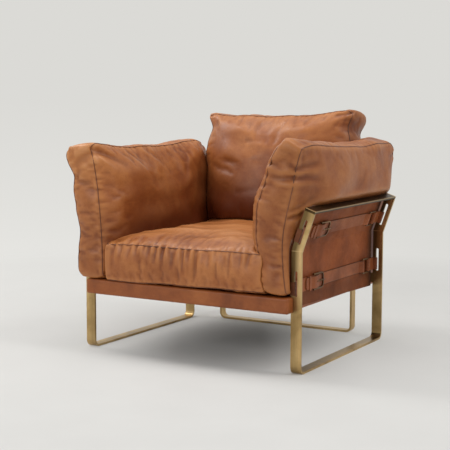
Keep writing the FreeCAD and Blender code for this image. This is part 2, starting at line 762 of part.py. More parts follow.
def pillow(size, crowns, ears, draws, channel="seam_deep"):
    """A boxed cushion lying flat: sewn edges as channels, crowned faces, sides drawn in between ears.

    size is its half width, half length and boxing, crowns its rises below and above, ears how far the
    corners at low and high y stand out, and draws how far its foot, sides and top draw in."""
    half_x, half_y, boxing = [value(text) for text in size]
    seam = value(channel)
    run = min(half_x, half_y) * CROWN_SHARE
    faces = []
    for sign, crown in zip((-1, 1), crowns):
        face = []
        for i in range(CROWN_STEPS + 1):
            turn = CROWN_TURN * i / CROWN_STEPS
            rise = seam + value(crown) * math.sin(turn)
            face.append((sign * (boxing / 2 + rise), run * (1 - math.cos(turn))))
        faces.append(face)
    sides = [(-boxing / 2, seam), (-boxing / 2 + seam, 0), (0, -value("seam_bulge")),
             (boxing / 2 - seam, 0), (boxing / 2, seam)]
    low_ear, high_ear = [value(text) for text in ears]
    foot, side, top = [-value(text) for text in draws]
    wires = []
    for level, inset in faces[0][::-1] + sides + faces[1]:
        left = max(0.0, 1 - inset / run)
        corners = []
        for sign_x, sign_y in ((-1, -1), (1, -1), (1, 1), (-1, 1)):
            ear = (low_ear if sign_y < 0 else high_ear) * left
            corners.append(Vector(sign_x * (half_x + ear - inset), sign_y * (half_y + ear - inset), 0))
        sags = [sag * max(0.15, left) for sag in (foot, side, top, side)]
        wires.append(outline_wire(level, corners, sags))
    return Part.makeLoft(wires, True, True)


def shapes_of(*names):
    return [DOC.getObject(name).Shape for name in names]


def deck_block():
    """The deck as one block, so that nothing settles into the well between its rails."""
    low = point("-front_half", "deck_front", "deck_bottom")
    return Part.makeBox(*point("front_half * 2", "deck_rear - deck_front", "deck_high"), low)


def cushion(label, shape, place):
    feature = DOC.addObject("Part::Feature", label)
    feature.Label = label
    feature.Shape = shape
    feature.Placement = place


def settle(shape, way, neighbours):
    """Moves a shape step by step until its least distance from the neighbours is the cushions' gap."""
    around = Part.Compound(neighbours)
    for _ in range(8):
        gap = shape.distToShape(around)[0] - value("cushion_gap")
        if gap < 0.02:
            break
        shape.Placement = Placement(way * gap, Rotation()) * shape.Placement


def seat_cushion():
    """The seat cushion lies on the deck, its front edge over the deck's."""
    shape = pillow(("seat_wide / 2", "seat_deep / 2", "seat_boxing"), ("fit_gap", "seat_crown"),
                   ("0", "0"), ("seat_end_draw", "seat_side_draw", "seat_end_draw"))
    start = point("0", "deck_front + seat_deep / 2 + cushion_gap", "deck_top + seat_boxing")
    shape.Placement = Placement(start, Rotation())
    settle(shape, Vector(0, 0, -1), [deck_block()])
    cushion("seat_cushion", shape, shape.Placement)


def arm_cushion(name, sign):
    """An arm cushion on its edge, leaning out over the top rail, cut back where it meets the frame."""
    shape = pillow(("arm_long / 2", "arm_high / 2", "arm_boxing"), ("arm_crown", "arm_crown"),
                   ("0", "arm_ear"), ("arm_foot_draw", "arm_end_draw", "arm_top_draw"))
    upright = Placement(Vector(), Rotation(Vector(0, 1, 0), Vector(0, 0, 1), Vector(1, 0, 0), "XYZ"))
    lean = Placement(Vector(), Rotation(Vector(0, 1, 0), value("arm_lean")))
    shape.Placement = lean * upright
    across = "arm_inner_low + arm_boxing / 2 * cos(arm_lean * 1deg) + arm_high / 2 * sin(arm_lean * 1deg)"
    start = point(across, "deck_front + arm_long / 2 + cushion_gap", "deck_top + arm_boxing")
    start.z -= shape.BoundBox.ZMin
    shape.Placement = Placement(start, Rotation()) * shape.Placement
    settle(shape, Vector(0, 0, -1), [deck_block()])
    shape = shape.cut(frame_room())
    if sign < 0:
        shape = shape.mirror(Vector(), Vector(1, 0, 0))
    cushion(name + "_arm_cushion", shape, Placement())


def frame_room():
    """The space of the right side frame and its panel, with the cushion's clearance round it."""
    frame = FRAMES[1]
    gap = value("cushion_gap")
    lean = math.radians(value(frame.lean))
    back = value("panel_back") + gap
    inner = value("side_inner")
    kink = value(frame.inner_kink)
    along = Vector(math.sin(lean), 0, math.cos(lean))
    out = Vector(math.cos(lean), 0, -math.sin(lean))
    bend = Vector(inner - back, 0, kink + back * math.tan(lean / 2))
    rail = Vector(inner, 0, kink) + along * (value(frame.bow_long + " + " + frame.step) + gap)
    far = rail + out * value("bar_wide + arm_boxing")
    corners = [Vector(inner - back, 0, 0), bend, rail - out * back, far, Vector(far.x, 0, 0)]
    front = Vector(0, value("front_line - tab_skin") - gap, 0)
    corners = [corner + front for corner in corners]
    face = Part.Face(Part.makePolygon(corners + corners[:1]))
    return face.extrude(point("0", "side_depth + arm_rear_past + arm_boxing", "0"))


def back_cushion():
    """The back cushion stands on the seat and leans on the back panel. Its top corners flare."""
    shape = pillow(("back_wide / 2", "back_high / 2", "back_boxing"), ("back_crown", "back_crown"),
                   ("-back_foot_ear", "back_top_ear"), ("back_foot_draw", "back_side_draw", "back_top_draw"))
    lean = Placement(Vector(), Rotation(Vector(1, 0, 0), 90 - value("back_lean")))
    start = point("0", "back_start", "deck_top + seat_boxing + back_high")
    shape.Placement = Placement(start, Rotation()) * lean
    seat = shapes_of("seat_cushion")
    behind = shapes_of("back_panel", "back_upper_bow")
    slope = math.radians(value("back_lean_angle"))
    settle(shape, Vector(0, 0, -1), seat)
    settle(shape, Vector(0, 1, 0), behind)
    settle(shape, Vector(0, -math.sin(slope), -math.cos(slope)), seat)
    shape.Placement = Placement(point("0", "-seam_deep", "0"), Rotation()) * shape.Placement
    settle(shape, Vector(0, 1, 0), behind)
    cushion("back_cushion", shape, shape.Placement)


for part_frame in FRAMES:
    lower_sled(part_frame)
    upper_bow(part_frame)
    panel(part_frame)
    for is_upper in (True, False):
        tab(part_frame, is_upper, "buckle")
        tab(part_frame, is_upper, "ring")
        strap(part_frame, is_upper)
        buckle(part_frame, is_upper)
        prong(part_frame, is_upper)
        ring(part_frame, is_upper)
keepers()
deck_timber()
webbing()
box_body("dust_cover", ("-timber_half", "deck_front + cover_thick", "deck_bottom + cover_thick"),
         ("timber_half", "deck_rear - cover_thick", "rail_low"))
deck_cover()
lugs_and_bolts()
seat_cushion()
arm_cushion("left", -1)
arm_cushion("right", 1)
back_cushion()

DOC.recompute()
for item in DOC.Objects:
    if "Invalid" in item.State or "Error" in item.State:
        raise RuntimeError("%s failed: %s" % (item.Label, item.State))

PIECES = [item for item in DOC.Objects
          if item.TypeId in ("PartDesign::Body", "Part::Compound", "Part::Feature")]
os.makedirs("parts", exist_ok=True)
for piece in PIECES:
    if piece.Shape.isNull() or not piece.Shape.isValid():
        raise RuntimeError(piece.Label + " has no valid shape")
for piece in PIECES:
    piece.Shape.exportStep(os.path.join("parts", piece.Label + ".step"))
print("pieces", len(PIECES))
print(Part.Compound([piece.Shape for piece in PIECES]).BoundBox)
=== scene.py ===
import math
import random

import bpy
import numpy as np
from mathutils import Matrix, Vector
from mathutils.bvhtree import BVHTree


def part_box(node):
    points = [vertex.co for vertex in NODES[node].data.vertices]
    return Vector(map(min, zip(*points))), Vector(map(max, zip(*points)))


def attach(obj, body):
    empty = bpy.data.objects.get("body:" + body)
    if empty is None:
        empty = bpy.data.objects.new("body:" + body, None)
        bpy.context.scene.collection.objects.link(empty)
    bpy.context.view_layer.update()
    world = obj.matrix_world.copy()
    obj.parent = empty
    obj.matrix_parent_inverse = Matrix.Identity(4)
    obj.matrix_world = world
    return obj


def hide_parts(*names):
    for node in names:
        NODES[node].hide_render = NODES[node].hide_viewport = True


# An armchair of leather and aged brass bar in a pale studio. The frame, panels and straps are the
# CAD nodes with finishes of their own, and every cushion is made here. Metres, +Z up, sitter to -Y.

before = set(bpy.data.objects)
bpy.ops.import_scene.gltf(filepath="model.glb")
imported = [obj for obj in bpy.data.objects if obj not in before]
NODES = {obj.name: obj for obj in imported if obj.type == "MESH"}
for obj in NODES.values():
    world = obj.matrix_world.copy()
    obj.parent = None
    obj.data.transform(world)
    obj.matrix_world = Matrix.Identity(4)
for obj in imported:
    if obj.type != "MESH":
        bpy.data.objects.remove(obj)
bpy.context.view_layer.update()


def added(name, data):
    item = bpy.data.objects.new(name, data)
    bpy.context.scene.collection.objects.link(item)
    return item


# The camera, the same as the one that the frame's sizes were solved with
CAMERA_PLACE = Vector((2.1000, -3.7231, 0.9183))
CAMERA_AIM = Vector((-0.0535, -0.0403, 0.4423))
CAMERA_ROLL = math.radians(0.201)
CAMERA_LENS = 91.313

camera_data = bpy.data.cameras.new("camera")
camera_data.sensor_width = 36
camera_data.lens = CAMERA_LENS
camera = added("camera", camera_data)
bpy.context.scene.camera = camera
backward = (CAMERA_PLACE - CAMERA_AIM).normalized()
level_right = Vector((0, 0, 1)).cross(backward).normalized()
level_up = backward.cross(level_right)
right = math.cos(CAMERA_ROLL) * level_right + math.sin(CAMERA_ROLL) * level_up
up = math.cos(CAMERA_ROLL) * level_up - math.sin(CAMERA_ROLL) * level_right
camera_turn = Matrix((right, up, backward)).transposed().to_4x4()
camera.matrix_world = Matrix.Translation(CAMERA_PLACE) @ camera_turn


# Materials

def srgb(red, green, blue):
    """A colour given in 0 to 255 as shown on a screen, made linear."""
    linear = []
    for part in (red, green, blue):
        share = part / 255
        linear.append(share / 12.92 if share <= 0.04045 else ((share + 0.055) / 1.055) ** 2.4)
    return (*linear, 1)


class Tree:
    """Short ways to add shader nodes."""

    def __init__(self, owner):
        owner.use_nodes = True
        self.tree = owner.node_tree

    def add(self, kind, inputs=None, **settings):
        node = self.tree.nodes.new(kind)
        for name, setting in settings.items():
            setattr(node, name, setting)
        self.feed(node, inputs or {})
        return node

    def feed(self, node, inputs):
        """Gives inputs, by name or number, a value or the output of another node."""
        for name, given in inputs.items():
            if isinstance(given, bpy.types.NodeSocket):
                self.tree.links.new(given, node.inputs[name])
            else:
                node.inputs[name].default_value = given

    def seen(self):
        """1 for rays that show what they meet, straight or mirrored, and 0 for those that light."""
        path = self.add("ShaderNodeLightPath").outputs
        share = path["Is Camera Ray"]
        for ray in ("Is Glossy Ray", "Is Transmission Ray"):
            inputs = {0: share, 1: path[ray]}
            share = self.add("ShaderNodeMath", inputs, operation="ADD", use_clamp=True).outputs[0]
        return share


class Nodes(Tree):
    """The shader of one material."""

    def __init__(self, name):
        self.material = bpy.data.materials.new(name)
        super().__init__(self.material)
        self.tree.nodes.clear()
        self.shader = self.add("ShaderNodeBsdfPrincipled")
        self.output = self.add("ShaderNodeOutputMaterial", {"Surface": self.shader.outputs[0]})
        self.place = self.add("ShaderNodeTexCoord").outputs["Object"]

    def axes(self):
        return self.add("ShaderNodeSeparateXYZ", {0: self.place}).outputs

    def stretch(self, scale, turn=(0, 0, 0)):
        inputs = {"Vector": self.place, "Scale": scale, "Rotation": turn}
        return self.add("ShaderNodeMapping", inputs).outputs[0]

    def noise(self, scale, detail=4, rough=0.55, where=None, twist=0.0):
        inputs = {"Vector": where or self.place, "Scale": scale, "Detail": detail, "Roughness": rough,
                  "Distortion": twist}
        return self.add("ShaderNodeTexNoise", inputs).outputs["Fac"]

    def cells(self, scale):
        inputs = {"Vector": self.place, "Scale": scale}
        return self.add("ShaderNodeTexVoronoi", inputs).outputs["Distance"]

    def ramp(self, source, *stops):
        node = self.add("ShaderNodeValToRGB", {"Fac": source})
        points = node.color_ramp.elements
        while len(points) < len(stops):
            points.new(0.5)
        for point, (place, colour) in zip(points, stops):
            point.position = place
            point.color = colour
        return node.outputs["Color"]

    def spread(self, source, low, high, to_low=0.0, to_high=1.0):
        inputs = {"Value": source, "From Min": low, "From Max": high, "To Min": to_low, "To Max": to_high}
        return self.add("ShaderNodeMapRange", inputs).outputs["Result"]

    def maths(self, kind, one, two=0.5):
        return self.add("ShaderNodeMath", {0: one, 1: two}, operation=kind).outputs[0]

    def times(self, one, two):
        return self.maths("MULTIPLY", one, two)

    def mix(self, share, one, two):
        return self.add("ShaderNodeMix", {0: share, 6: one, 7: two}, data_type="RGBA").outputs[2]

    def over(self, colour, tone, source, low, high, most=1.0):
        """The colour with a tone laid over it, up to the share most where the source reaches high."""
        return self.mix(self.spread(source, low, high, 0.0, most), colour, tone)

    def attribute(self, name):
        return self.add("ShaderNodeAttribute", attribute_name=name).outputs["Fac"]

    def finish(self, colour, rough, bumps=(), metallic=0.0, gloss_level=0.5):
        """Feeds the shader. Each bump is a height with its strength and its depth in metres."""
        relief = {}
        for height, strength, depth in bumps:
            inputs = {"Height": height, "Strength": strength, "Distance": depth, **relief}
            relief = {"Normal": self.add("ShaderNodeBump", inputs).outputs["Normal"]}
        self.feed(self.shader, {"Base Color": colour, "Roughness": rough, "Metallic": metallic,
                                "Specular IOR Level": gloss_level, **relief})
        return self.material


def leather(name, light, middle, dark, wear_and_highlight=0.5, sewn=False, gloss_level=0.36, rough=(0.34, 0.5),
            bands=(), waves=0.0):
    """Waxed pull-up leather: cloudy colour, paler where it is rubbed, painted shade in folds and painted
    light where asked, pebbled grain.

    Each band of painted shade is an axis, the places where it starts to darken and where it is full, and
    its share."""
    n = Nodes(name)
    colour = n.ramp(n.noise(5.5, 5, 0.6, twist=0.4), (0.3, dark), (0.5, middle), (0.72, light))
    colour = n.over(colour, dark, n.noise(38, 4, 0.65), 0.35, 0.75, 0.35)
    colour = n.over(colour, dark, n.noise(130, 3, 0.7), 0.45, 0.75, 0.3)
    streaks = n.noise(9, 6, 0.7, n.stretch((1, 1, 3.2), (0.3, 0.5, 0.2)), 0.8)
    colour = n.over(colour, light, streaks, 0.52, 0.8, wear_and_highlight)
    if sewn:
        rub_and_painted_light = n.attribute("rub_and_painted_light")
        # Painted shade in creases and along the seams
        colour = n.over(colour, srgb(84, 40, 20), n.attribute("crease_shade"), 0.0, 1.0, 0.5)
        # Paler where raised leather is rubbed; past 1 the rub carries painted light, up to a painted
        # highlight tone
        colour = n.over(colour, light, rub_and_painted_light, 0.0, 1.0, 0.75)
        colour = n.over(colour, srgb(210, 150, 98), rub_and_painted_light, 1.0, 2.0, 0.7)
        # Painted shade, deep and red, where the cushions meet and low between them
        colour = n.mix(n.attribute("painted_shade"), colour, srgb(84, 32, 10))
    gloss = n.spread(n.noise(14, 4, 0.6), 0.3, 0.7, *rough)
    # Painted shade in bands along an axis, where the band is also made rougher
    for axis, low, high, share in bands:
        band_shade = n.spread(n.axes()[axis], low, high, 0.0, share)
        colour = n.mix(band_shade, colour, srgb(62, 38, 24))
        gloss = n.maths("MAXIMUM", gloss, band_shade)
    bumps = [(n.noise(70, 5, 0.7), 0.22, 0.0012), (n.cells(620), 0.16, 0.0004)]
    if waves:
        bumps.insert(0, (n.noise(9, 2, 0.5, n.stretch((1, 1, 0.2))), 0.5, waves))
    return n.finish(colour, gloss, bumps, gloss_level=gloss_level)


# The side frames: where a bar's inner edge stands, where the leaning bow starts, how far it leans,
# and the bar's width and thickness
SIDE_INNER = 0.404
KINK_LEVEL = 0.41636
RAIL_LEAN = math.radians(19)
BAR_WIDE = 0.038
BAR_THICK = 0.008


def brass(name, light, middle, dark, way=(60, 60, 1), corners=None):
    """Aged brass, brushed along one way and darker in patches. The corners are a side frame bar's."""
    n = Nodes(name)
    patches = n.noise(7, 5, 0.6, twist=0.5)
    lines = n.noise(14, 3, 0.6, n.stretch(way))
    colour = n.ramp(patches, (0.3, dark), (0.52, middle), (0.74, light))
    colour = n.over(colour, dark, lines, 0.4, 0.65, 0.35)
    if corners:
        colour = side_tones_and_painted_light(n, colour, light, patches, *corners)
    return n.finish(colour, n.spread(patches, 0.3, 0.7, 0.3, 0.42), [(lines, 0.06, 0.0003)], metallic=1.0)


def side_tones_and_painted_light(n, colour, light, patches, low, high):
    """A side bar's inboard half is browner, and its top rail gets painted shade and a painted reflection
    of the dark leather above it, apart from painted highlights on the uprights' ends and along the outer
    edge. A pale weld line crosses the kink."""
    x, y, z = n.axes()
    out = n.maths("SUBTRACT", n.maths("ABSOLUTE", x), SIDE_INNER)
    above = n.maths("SUBTRACT", z, KINK_LEVEL)
    lean = n.times(n.maths("MAXIMUM", above, 0.0), math.tan(RAIL_LEAN))
    across = n.maths("SUBTRACT", out, lean)
    inboard = n.times(n.spread(across, 0.012, 0.031, 1.0, 0.0), n.spread(patches, 0.3, 0.6, 0.7, 1.0))
    inboard = n.times(inboard, n.spread(z, 0.24, 0.34, 0.32, 0.9))
    colour = n.mix(inboard, colour, srgb(84, 66, 38))
    weld = n.spread(n.maths("ABSOLUTE", above), 0.0006, 0.0014, 0.5, 0.0)
    colour = n.mix(weld, colour, light)
    if high.z > KINK_LEVEL + 0.1:
        # The rail's level, measured up the leaning bow
        reach = (max(-low.x, high.x) - SIDE_INNER) * math.sin(RAIL_LEAN)
        reach = reach + (high.z - KINK_LEVEL) * math.cos(RAIL_LEAN)
        reach = reach - BAR_WIDE * 0.5 * math.sin(2 * RAIL_LEAN)
        slope = n.times(out, math.sin(RAIL_LEAN))
        along = n.maths("ADD", slope, n.times(above, math.cos(RAIL_LEAN)))
        # Painted shade on the rail's top; painted highlights on the uprights' ends and along the outer
        # edge
        painted_shade = n.spread(along, reach - 0.011, reach - 0.008)
        end = n.maths("ABSOLUTE", n.maths("SUBTRACT", y, (low.y + high.y) / 2))
        half = (high.y - low.y) / 2
        cap = n.times(n.spread(along, reach - 0.0012, reach - 0.0006),
                      n.spread(end, half - BAR_THICK - 0.001, half - BAR_THICK + 0.001))
        wear_and_highlight = n.spread(n.maths("ADD", along, across), reach + 0.0360, reach + 0.0376, 0.0, 0.4)
        shade = n.times(painted_shade, n.spread(patches, 0.3, 0.6, 0.82, 0.96))
        bright = n.maths("MAXIMUM", n.times(cap, 0.9), n.times(wear_and_highlight, painted_shade))
        colour = n.mix(bright, n.mix(shade, colour, srgb(52, 36, 20)), light)
    return colour


def timber():
    n = Nodes("timber")
    rings = n.noise(9, 4, 0.6, n.stretch((0.6, 9, 9)), 0.6)
    colour = n.ramp(rings, (0.3, srgb(176, 136, 92)), (0.7, srgb(212, 178, 132)))
    return n.finish(colour, 0.7, [(rings, 0.2, 0.001)])


def woven(name, light, dark, fine):
    n = Nodes(name)
    bands = []
    for way in "XY":
        bands.append(n.add("ShaderNodeTexWave", {"Vector": n.place, "Scale": fine}, wave_type="BANDS",
                           bands_direction=way).outputs["Fac"])
    both = n.times(*bands)
    return n.finish(n.ramp(both, (0.1, dark), (0.8, light)), 0.85, [(both, 0.4, 0.0008)])


def steel():
    n = Nodes("bolt_steel")
    spots = n.noise(60, 3)
    colour = n.ramp(spots, (0.3, srgb(150, 150, 148)), (0.7, srgb(186, 186, 184)))
    return n.finish(colour, n.spread(spots, 0.3, 0.7, 0.3, 0.5), metallic=1.0)


def panel_finish(name, bands=()):
    return leather(name, srgb(166, 96, 56), srgb(145, 78, 42), srgb(110, 56, 28), 0.35,
                   gloss_level=0.12, rough=(0.5, 0.65), bands=bands, waves=0.010)


def strap_finish(name, bands=()):
    return leather(name, srgb(172, 102, 62), srgb(150, 84, 47), srgb(110, 58, 30), 0.4,
                   gloss_level=0.24, rough=(0.44, 0.6), bands=bands)


BAR_TONES = (srgb(224, 194, 142), srgb(198, 167, 115), srgb(142, 115, 73))
FINISHES = {
    "bar": brass("bar_brass", *BAR_TONES),
    "buckle_metal": brass("buckle_brass", srgb(170, 130, 80), srgb(120, 90, 56), srgb(66, 46, 30),
                          (20, 20, 20)),
    "deck_leather": leather("deck_leather", srgb(170, 100, 50), srgb(148, 81, 37), srgb(112, 56, 24),
                            0.35),
    "panel_leather": panel_finish("panel_leather"),
    "strap_leather": strap_finish("strap_leather"),
    "cushion_leather": leather("cushion_leather", srgb(188, 122, 68), srgb(160, 93, 45),
                               srgb(120, 60, 25), 0.5, True),
    "timber": timber(),
    "webbing": woven("webbing", srgb(150, 132, 100), srgb(96, 80, 56), 260),
    "dust_cloth": woven("dust_cloth", srgb(52, 50, 48), srgb(26, 25, 24), 400),
    "bolt_steel": steel(),
}
piping_leather = leather("piping_leather", srgb(150, 96, 64), srgb(118, 68, 42), srgb(78, 42, 26), 0.3)
thread = leather("thread", srgb(150, 100, 62), srgb(126, 78, 46), srgb(96, 56, 32), 0.3)


def finish_of(name):
    """The slot that a CAD node's name calls for."""
    kinds = {
        "bar": ("sled", "bow", "lugs"),
        "strap_leather": ("keepers", "_tab", "_strap"),
        "buckle_metal": ("buckle", "_ring", "prong"),
        "panel_leather": ("panel",),
        "deck_leather": ("deck_cover",),
        "timber": ("_rail",),
        "webbing": ("webbing",),
        "dust_cloth": ("dust",),
        "bolt_steel": ("bolts",),
        "cushion_leather": ("cushion",),
    }
    for slot_name, words in kinds.items():
        if any(word in name for word in words):
            return slot_name
    return "bar"


for node_name, node in NODES.items():
    finish = FINISHES[finish_of(node_name)]
    box_low, box_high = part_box(node_name)
    on_side = node_name.startswith(("left_", "right_"))
    if on_side and node_name.endswith(("_upper_bow", "_lower_sled")):
        finish = brass(node_name + "_brass", *BAR_TONES, corners=(box_low, box_high))
    # The bands below are painted shade: at the panel's ends by the uprights and below its lower strap, at
    # the tab's front end, and along each strap's top and bottom edges
    if on_side and node_name.endswith("_panel"):
        strap_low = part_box(node_name.replace("panel", "lower_strap"))[0].z
        finish = panel_finish(node_name + "_leather", [
            ("Y", box_high.y - 0.05, box_high.y - 0.012, 0.9),
            ("Y", box_low.y + 0.03, box_low.y + 0.004, 0.45),
            ("Z", strap_low + 0.004, strap_low - 0.016, 0.4)])
    if on_side and node_name.endswith("_buckle_tab"):
        finish = strap_finish(node_name + "_leather", [("Y", box_low.y + 0.02, box_low.y + 0.006, 0.6)])
    if node_name.endswith("_strap"):
        finish = strap_finish(node_name + "_leather", [
            ("Z", box_high.z - 0.0022, box_high.z - 0.0012, 0.8),
            ("Z", box_low.z + 0.0022, box_low.z + 0.0012, 0.7)])
    node.data.materials.clear()
    node.data.materials.append(finish)
    finish_of(node_name)


# Cushions. Each starts as the surface of a box in small squares, which is then shaped as a boxed
# cushion lying flat, blown up as cloth, creased, turned into its place and sewn with piping.

CELL = 0.008
# What counts as no distance
HAIR = 1e-6


class Sheet:
    """The surface of a box in squares. flat holds each point's place: u across, v along, w up."""

    def __init__(self, half_u, half_v, half_w):
        self.half = np.array((half_u, half_v, half_w))
        self.count = [max(2, round(2 * half / CELL)) for half in self.half]
        self.index = {}
        self.quads = []
        for axis in range(3):
            one, two = [other for other in range(3) if other != axis]
            for end in (0, self.count[axis]):
                for i in range(self.count[one]):
                    for j in range(self.count[two]):
                        corners = []
                        for step_i, step_j in ((0, 0), (1, 0), (1, 1), (0, 1)):
                            key = [end, end, end]
                            key[one] = i + step_i
                            key[two] = j + step_j
                            corners.append(self.index.setdefault(tuple(key), len(self.index)))
                        # Axis 1 has its two others in the opposite turn
                        outward = (end > 0) != (axis == 1)
                        self.quads.append(corners if outward else corners[::-1])
        self.flat = (np.array(list(self.index)) / np.array(self.count) * 2 - 1) * self.half

    def side(self, axis, sign):
        """Which points lie on one flat side of the box."""
        return self.flat[:, axis] * sign > self.half[axis] - HAIR

    def loop(self, top):
        """The points of the upper or lower sewn edge, in order round the cushion."""
        last_u, last_v, last_w = self.count
        level = last_w if top else 0
        keys = [(i, 0, level) for i in range(last_u)]
        keys += [(last_u, j, level) for j in range(last_v)]
        keys += [(i, last_v, level) for i in range(last_u, 0, -1)]
        keys += [(0, j, level) for j in range(last_v, 0, -1)]
        return [self.index[key] for key in keys]


def quarter(share):
    """Rises from 0 to 1 steeply at first, as a stuffed face does from its sewn edge."""
    share = np.clip(share, 0, 1)
    return np.sqrt(1 - (1 - share) ** 2)


def shaped(sheet, crowns, ears, draws, rounds, swell, crown_run=0.72):
    """The points of a boxed cushion lying flat: crowned faces, swollen boxing, drawn-in sides.

    rounds holds the radii in plan of the corners at low and high v, first for low u, then for high u."""
    half_u, half_v, half_w = sheet.half
    u, v, w = sheet.flat.T
    run = min(half_u, half_v) * crown_run
    # Square corners in plan become round ones
    radius = np.where(u < 0, np.where(v < 0, rounds[0], rounds[1]), np.where(v < 0, rounds[2], rounds[3]))
    inner = np.stack((half_u - radius, half_v - radius), 1)
    plan = np.stack((u, v), 1)
    core = np.clip(plan, -inner, inner)
    past = plan - core
    length = np.linalg.norm(past, axis=1)
    reach = np.abs(past).max(axis=1)
    turned = past * (reach / np.maximum(length, 1e-9))[:, None]
    plan = core + turned
    low_ear, high_ear = ears
    foot, side, top = draws
    ear = np.where(v < 0, low_ear, high_ear) * np.abs(v / half_v) ** 3
    wide = half_u + ear - side * (1 - (v / half_v) ** 2)
    ends = np.where(v < 0, foot, top)
    ear_v = np.where(v < 0, low_ear, high_ear) * np.abs(u / half_u) ** 3
    long = half_v + ear_v - ends * (1 - (u / half_u) ** 2)
    x = plan[:, 0] / half_u * wide
    y = plan[:, 1] / half_v * long
    # The boxing swells between its two seams
    out = swell * np.sqrt(np.clip(1 - (w / half_w) ** 2, 0, 1))
    x = x + np.where(np.abs(u) > half_u - HAIR, out * np.sign(u), 0)
    y = y + np.where(np.abs(v) > half_v - HAIR, out * np.sign(v), 0)
    rise = quarter((half_u - np.abs(u)) / run) * quarter((half_v - np.abs(v)) / run)
    low_crown, high_crown = crowns
    z = w + np.where(sheet.side(2, 1), high_crown * rise, 0)
    z = z - np.where(sheet.side(2, -1), low_crown * rise, 0)
    return np.stack((x, y, z), 1)


def smooth_step(low, high, given):
    share = np.clip((given - low) / (high - low), 0, 1)
    return share * share * (3 - 2 * share)


def hump(middle, width, given):
    return np.exp(-((given - middle) / width) ** 2)


def normals_of(points, quads):
    corner = points[quads]
    face = np.cross(corner[:, 2] - corner[:, 0], corner[:, 3] - corner[:, 1])
    total = np.zeros_like(points)
    for i in range(4):
        np.add.at(total, quads[:, i], face)
    return total / np.maximum(np.linalg.norm(total, axis=1), 1e-12)[:, None]


def new_mesh(name, points, faces):
    mesh = bpy.data.meshes.new(name)
    mesh.from_pydata([tuple(point) for point in points], [], [list(face) for face in faces])
    mesh.validate()
    for polygon in mesh.polygons:
        polygon.use_smooth = True
    return added(name, mesh)


def read_points(item):
    places = np.zeros(len(item.data.vertices) * 3)
    item.data.vertices.foreach_get("co", places)
    return places.reshape(-1, 3)


CLOTH = {
    "quality": 6,
    "mass": 0.4,
    "use_pressure": True,
    "uniform_pressure_force": 4.0,
    "tension_stiffness": 30,
    "compression_stiffness": 30,
    "shear_stiffness": 12,
    "bending_stiffness": 1.2,
    "shrink_min": -0.015,
    "vertex_group_mass": "held",
}


CLOTH_FRAMES = 16


def blown(name, points, quads, held):
    """Lets the cover settle as cloth under pressure and gives its points."""
    item = new_mesh(name + "_cloth", points, quads)
    group = item.vertex_groups.new(name="held")
    group.add([int(index) for index in np.flatnonzero(held)], 1.0, "REPLACE")
    cloth = item.modifiers.new("cloth", "CLOTH")
    for setting, given in CLOTH.items():
        setattr(cloth.settings, setting, given)
    cloth.settings.effector_weights.gravity = 0
    cloth.collision_settings.use_collision = False
    cloth.point_cache.frame_start = 1
    cloth.point_cache.frame_end = CLOTH_FRAMES + 2
    scene = bpy.context.scene
    for step in range(1, CLOTH_FRAMES + 1):
        scene.frame_set(step)
    result = read_points(item.evaluated_get(bpy.context.evaluated_depsgraph_get()))
    bpy.data.objects.remove(item)
    scene.frame_set(1)
    return result


def smoothed(points, quads, times):
    """Points moved to the mean of their neighbours, several times."""
    count = np.zeros(len(points))
    pairs = np.concatenate([quads[:, [i, (i + 1) % 4]] for i in range(4)])
    for column in (0, 1):
        np.add.at(count, pairs[:, column], 1)
    for _ in range(times):
        total = np.zeros_like(points)
        np.add.at(total, pairs[:, 0], points[pairs[:, 1]])
        np.add.at(total, pairs[:, 1], points[pairs[:, 0]])
        points = total / count[:, None]
    return points


# A crease throws up a ridge on each side, lower than the groove is deep
RIDGE_SHARE = 0.35


class Folds:
    """Creases on one cushion. Each is a line on a region of the box, deepest at its start."""

    def __init__(self, sheet):
        self.sheet = sheet
        self.depth = np.zeros(len(sheet.flat))

    def crease(self, region, axes, start, end, depth, width, fade=0.8, bend=0.0):
        """Adds one crease between two places on the region, given in metres on the flat box."""
        plane = self.sheet.flat[:, axes]
        start = np.array(start)
        end = np.array(end)
        way = end - start
        length = np.linalg.norm(way)
        way = way / length
        side = np.array((-way[1], way[0]))
        offset = plane - start
        along = offset @ way / length
        curve = bend * length * 4 * np.clip(along, 0, 1) * (1 - np.clip(along, 0, 1))
        off = offset @ side - curve
        beyond = np.maximum(0, np.maximum(-along, along - 1)) * length
        distance = np.sqrt(off ** 2 + beyond ** 2)
        strength = np.clip(1 - along, 0, 1) ** fade
        groove = np.exp(-(distance / width) ** 2)
        ridge = np.exp(-((distance - 2 * width) / (1.1 * width)) ** 2)
        self.depth += np.where(region, (groove - RIDGE_SHARE * ridge) * depth * strength, 0)

    def lines(self, region, axes, *each):
        """Adds several creases, each given as for one, without the region and its axes."""
        for line in each:
            self.crease(region, axes, *line)


def piping(name, path, radius=0.0019, sides=7):
    """A closed sewn cord along a path of points."""
    for _ in range(2):
        path = (np.roll(path, 1, 0) + 2 * path + np.roll(path, -1, 0)) / 4
    count = len(path)
    tangent = np.roll(path, -1, 0) - np.roll(path, 1, 0)
    tangent /= np.linalg.norm(tangent, axis=1)[:, None]
    centre = path.mean(0)
    outward = path - centre
    outward -= (outward * tangent).sum(1)[:, None] * tangent
    outward /= np.linalg.norm(outward, axis=1)[:, None]
    across = np.cross(tangent, outward)
    points = []
    for i in range(sides):
        turn = 2 * math.pi * i / sides
        points.append(path + radius * (math.cos(turn) * outward + math.sin(turn) * across))
    points = np.concatenate(points)
    faces = []
    for i in range(sides):
        for j in range(count):
            after = (j + 1) % count
            other = (i + 1) % sides
            faces.append((i * count + j, i * count + after, other * count + after, other * count + j))
    item = new_mesh(name, points, faces)
    item.data.materials.append(piping_leather)
    return item


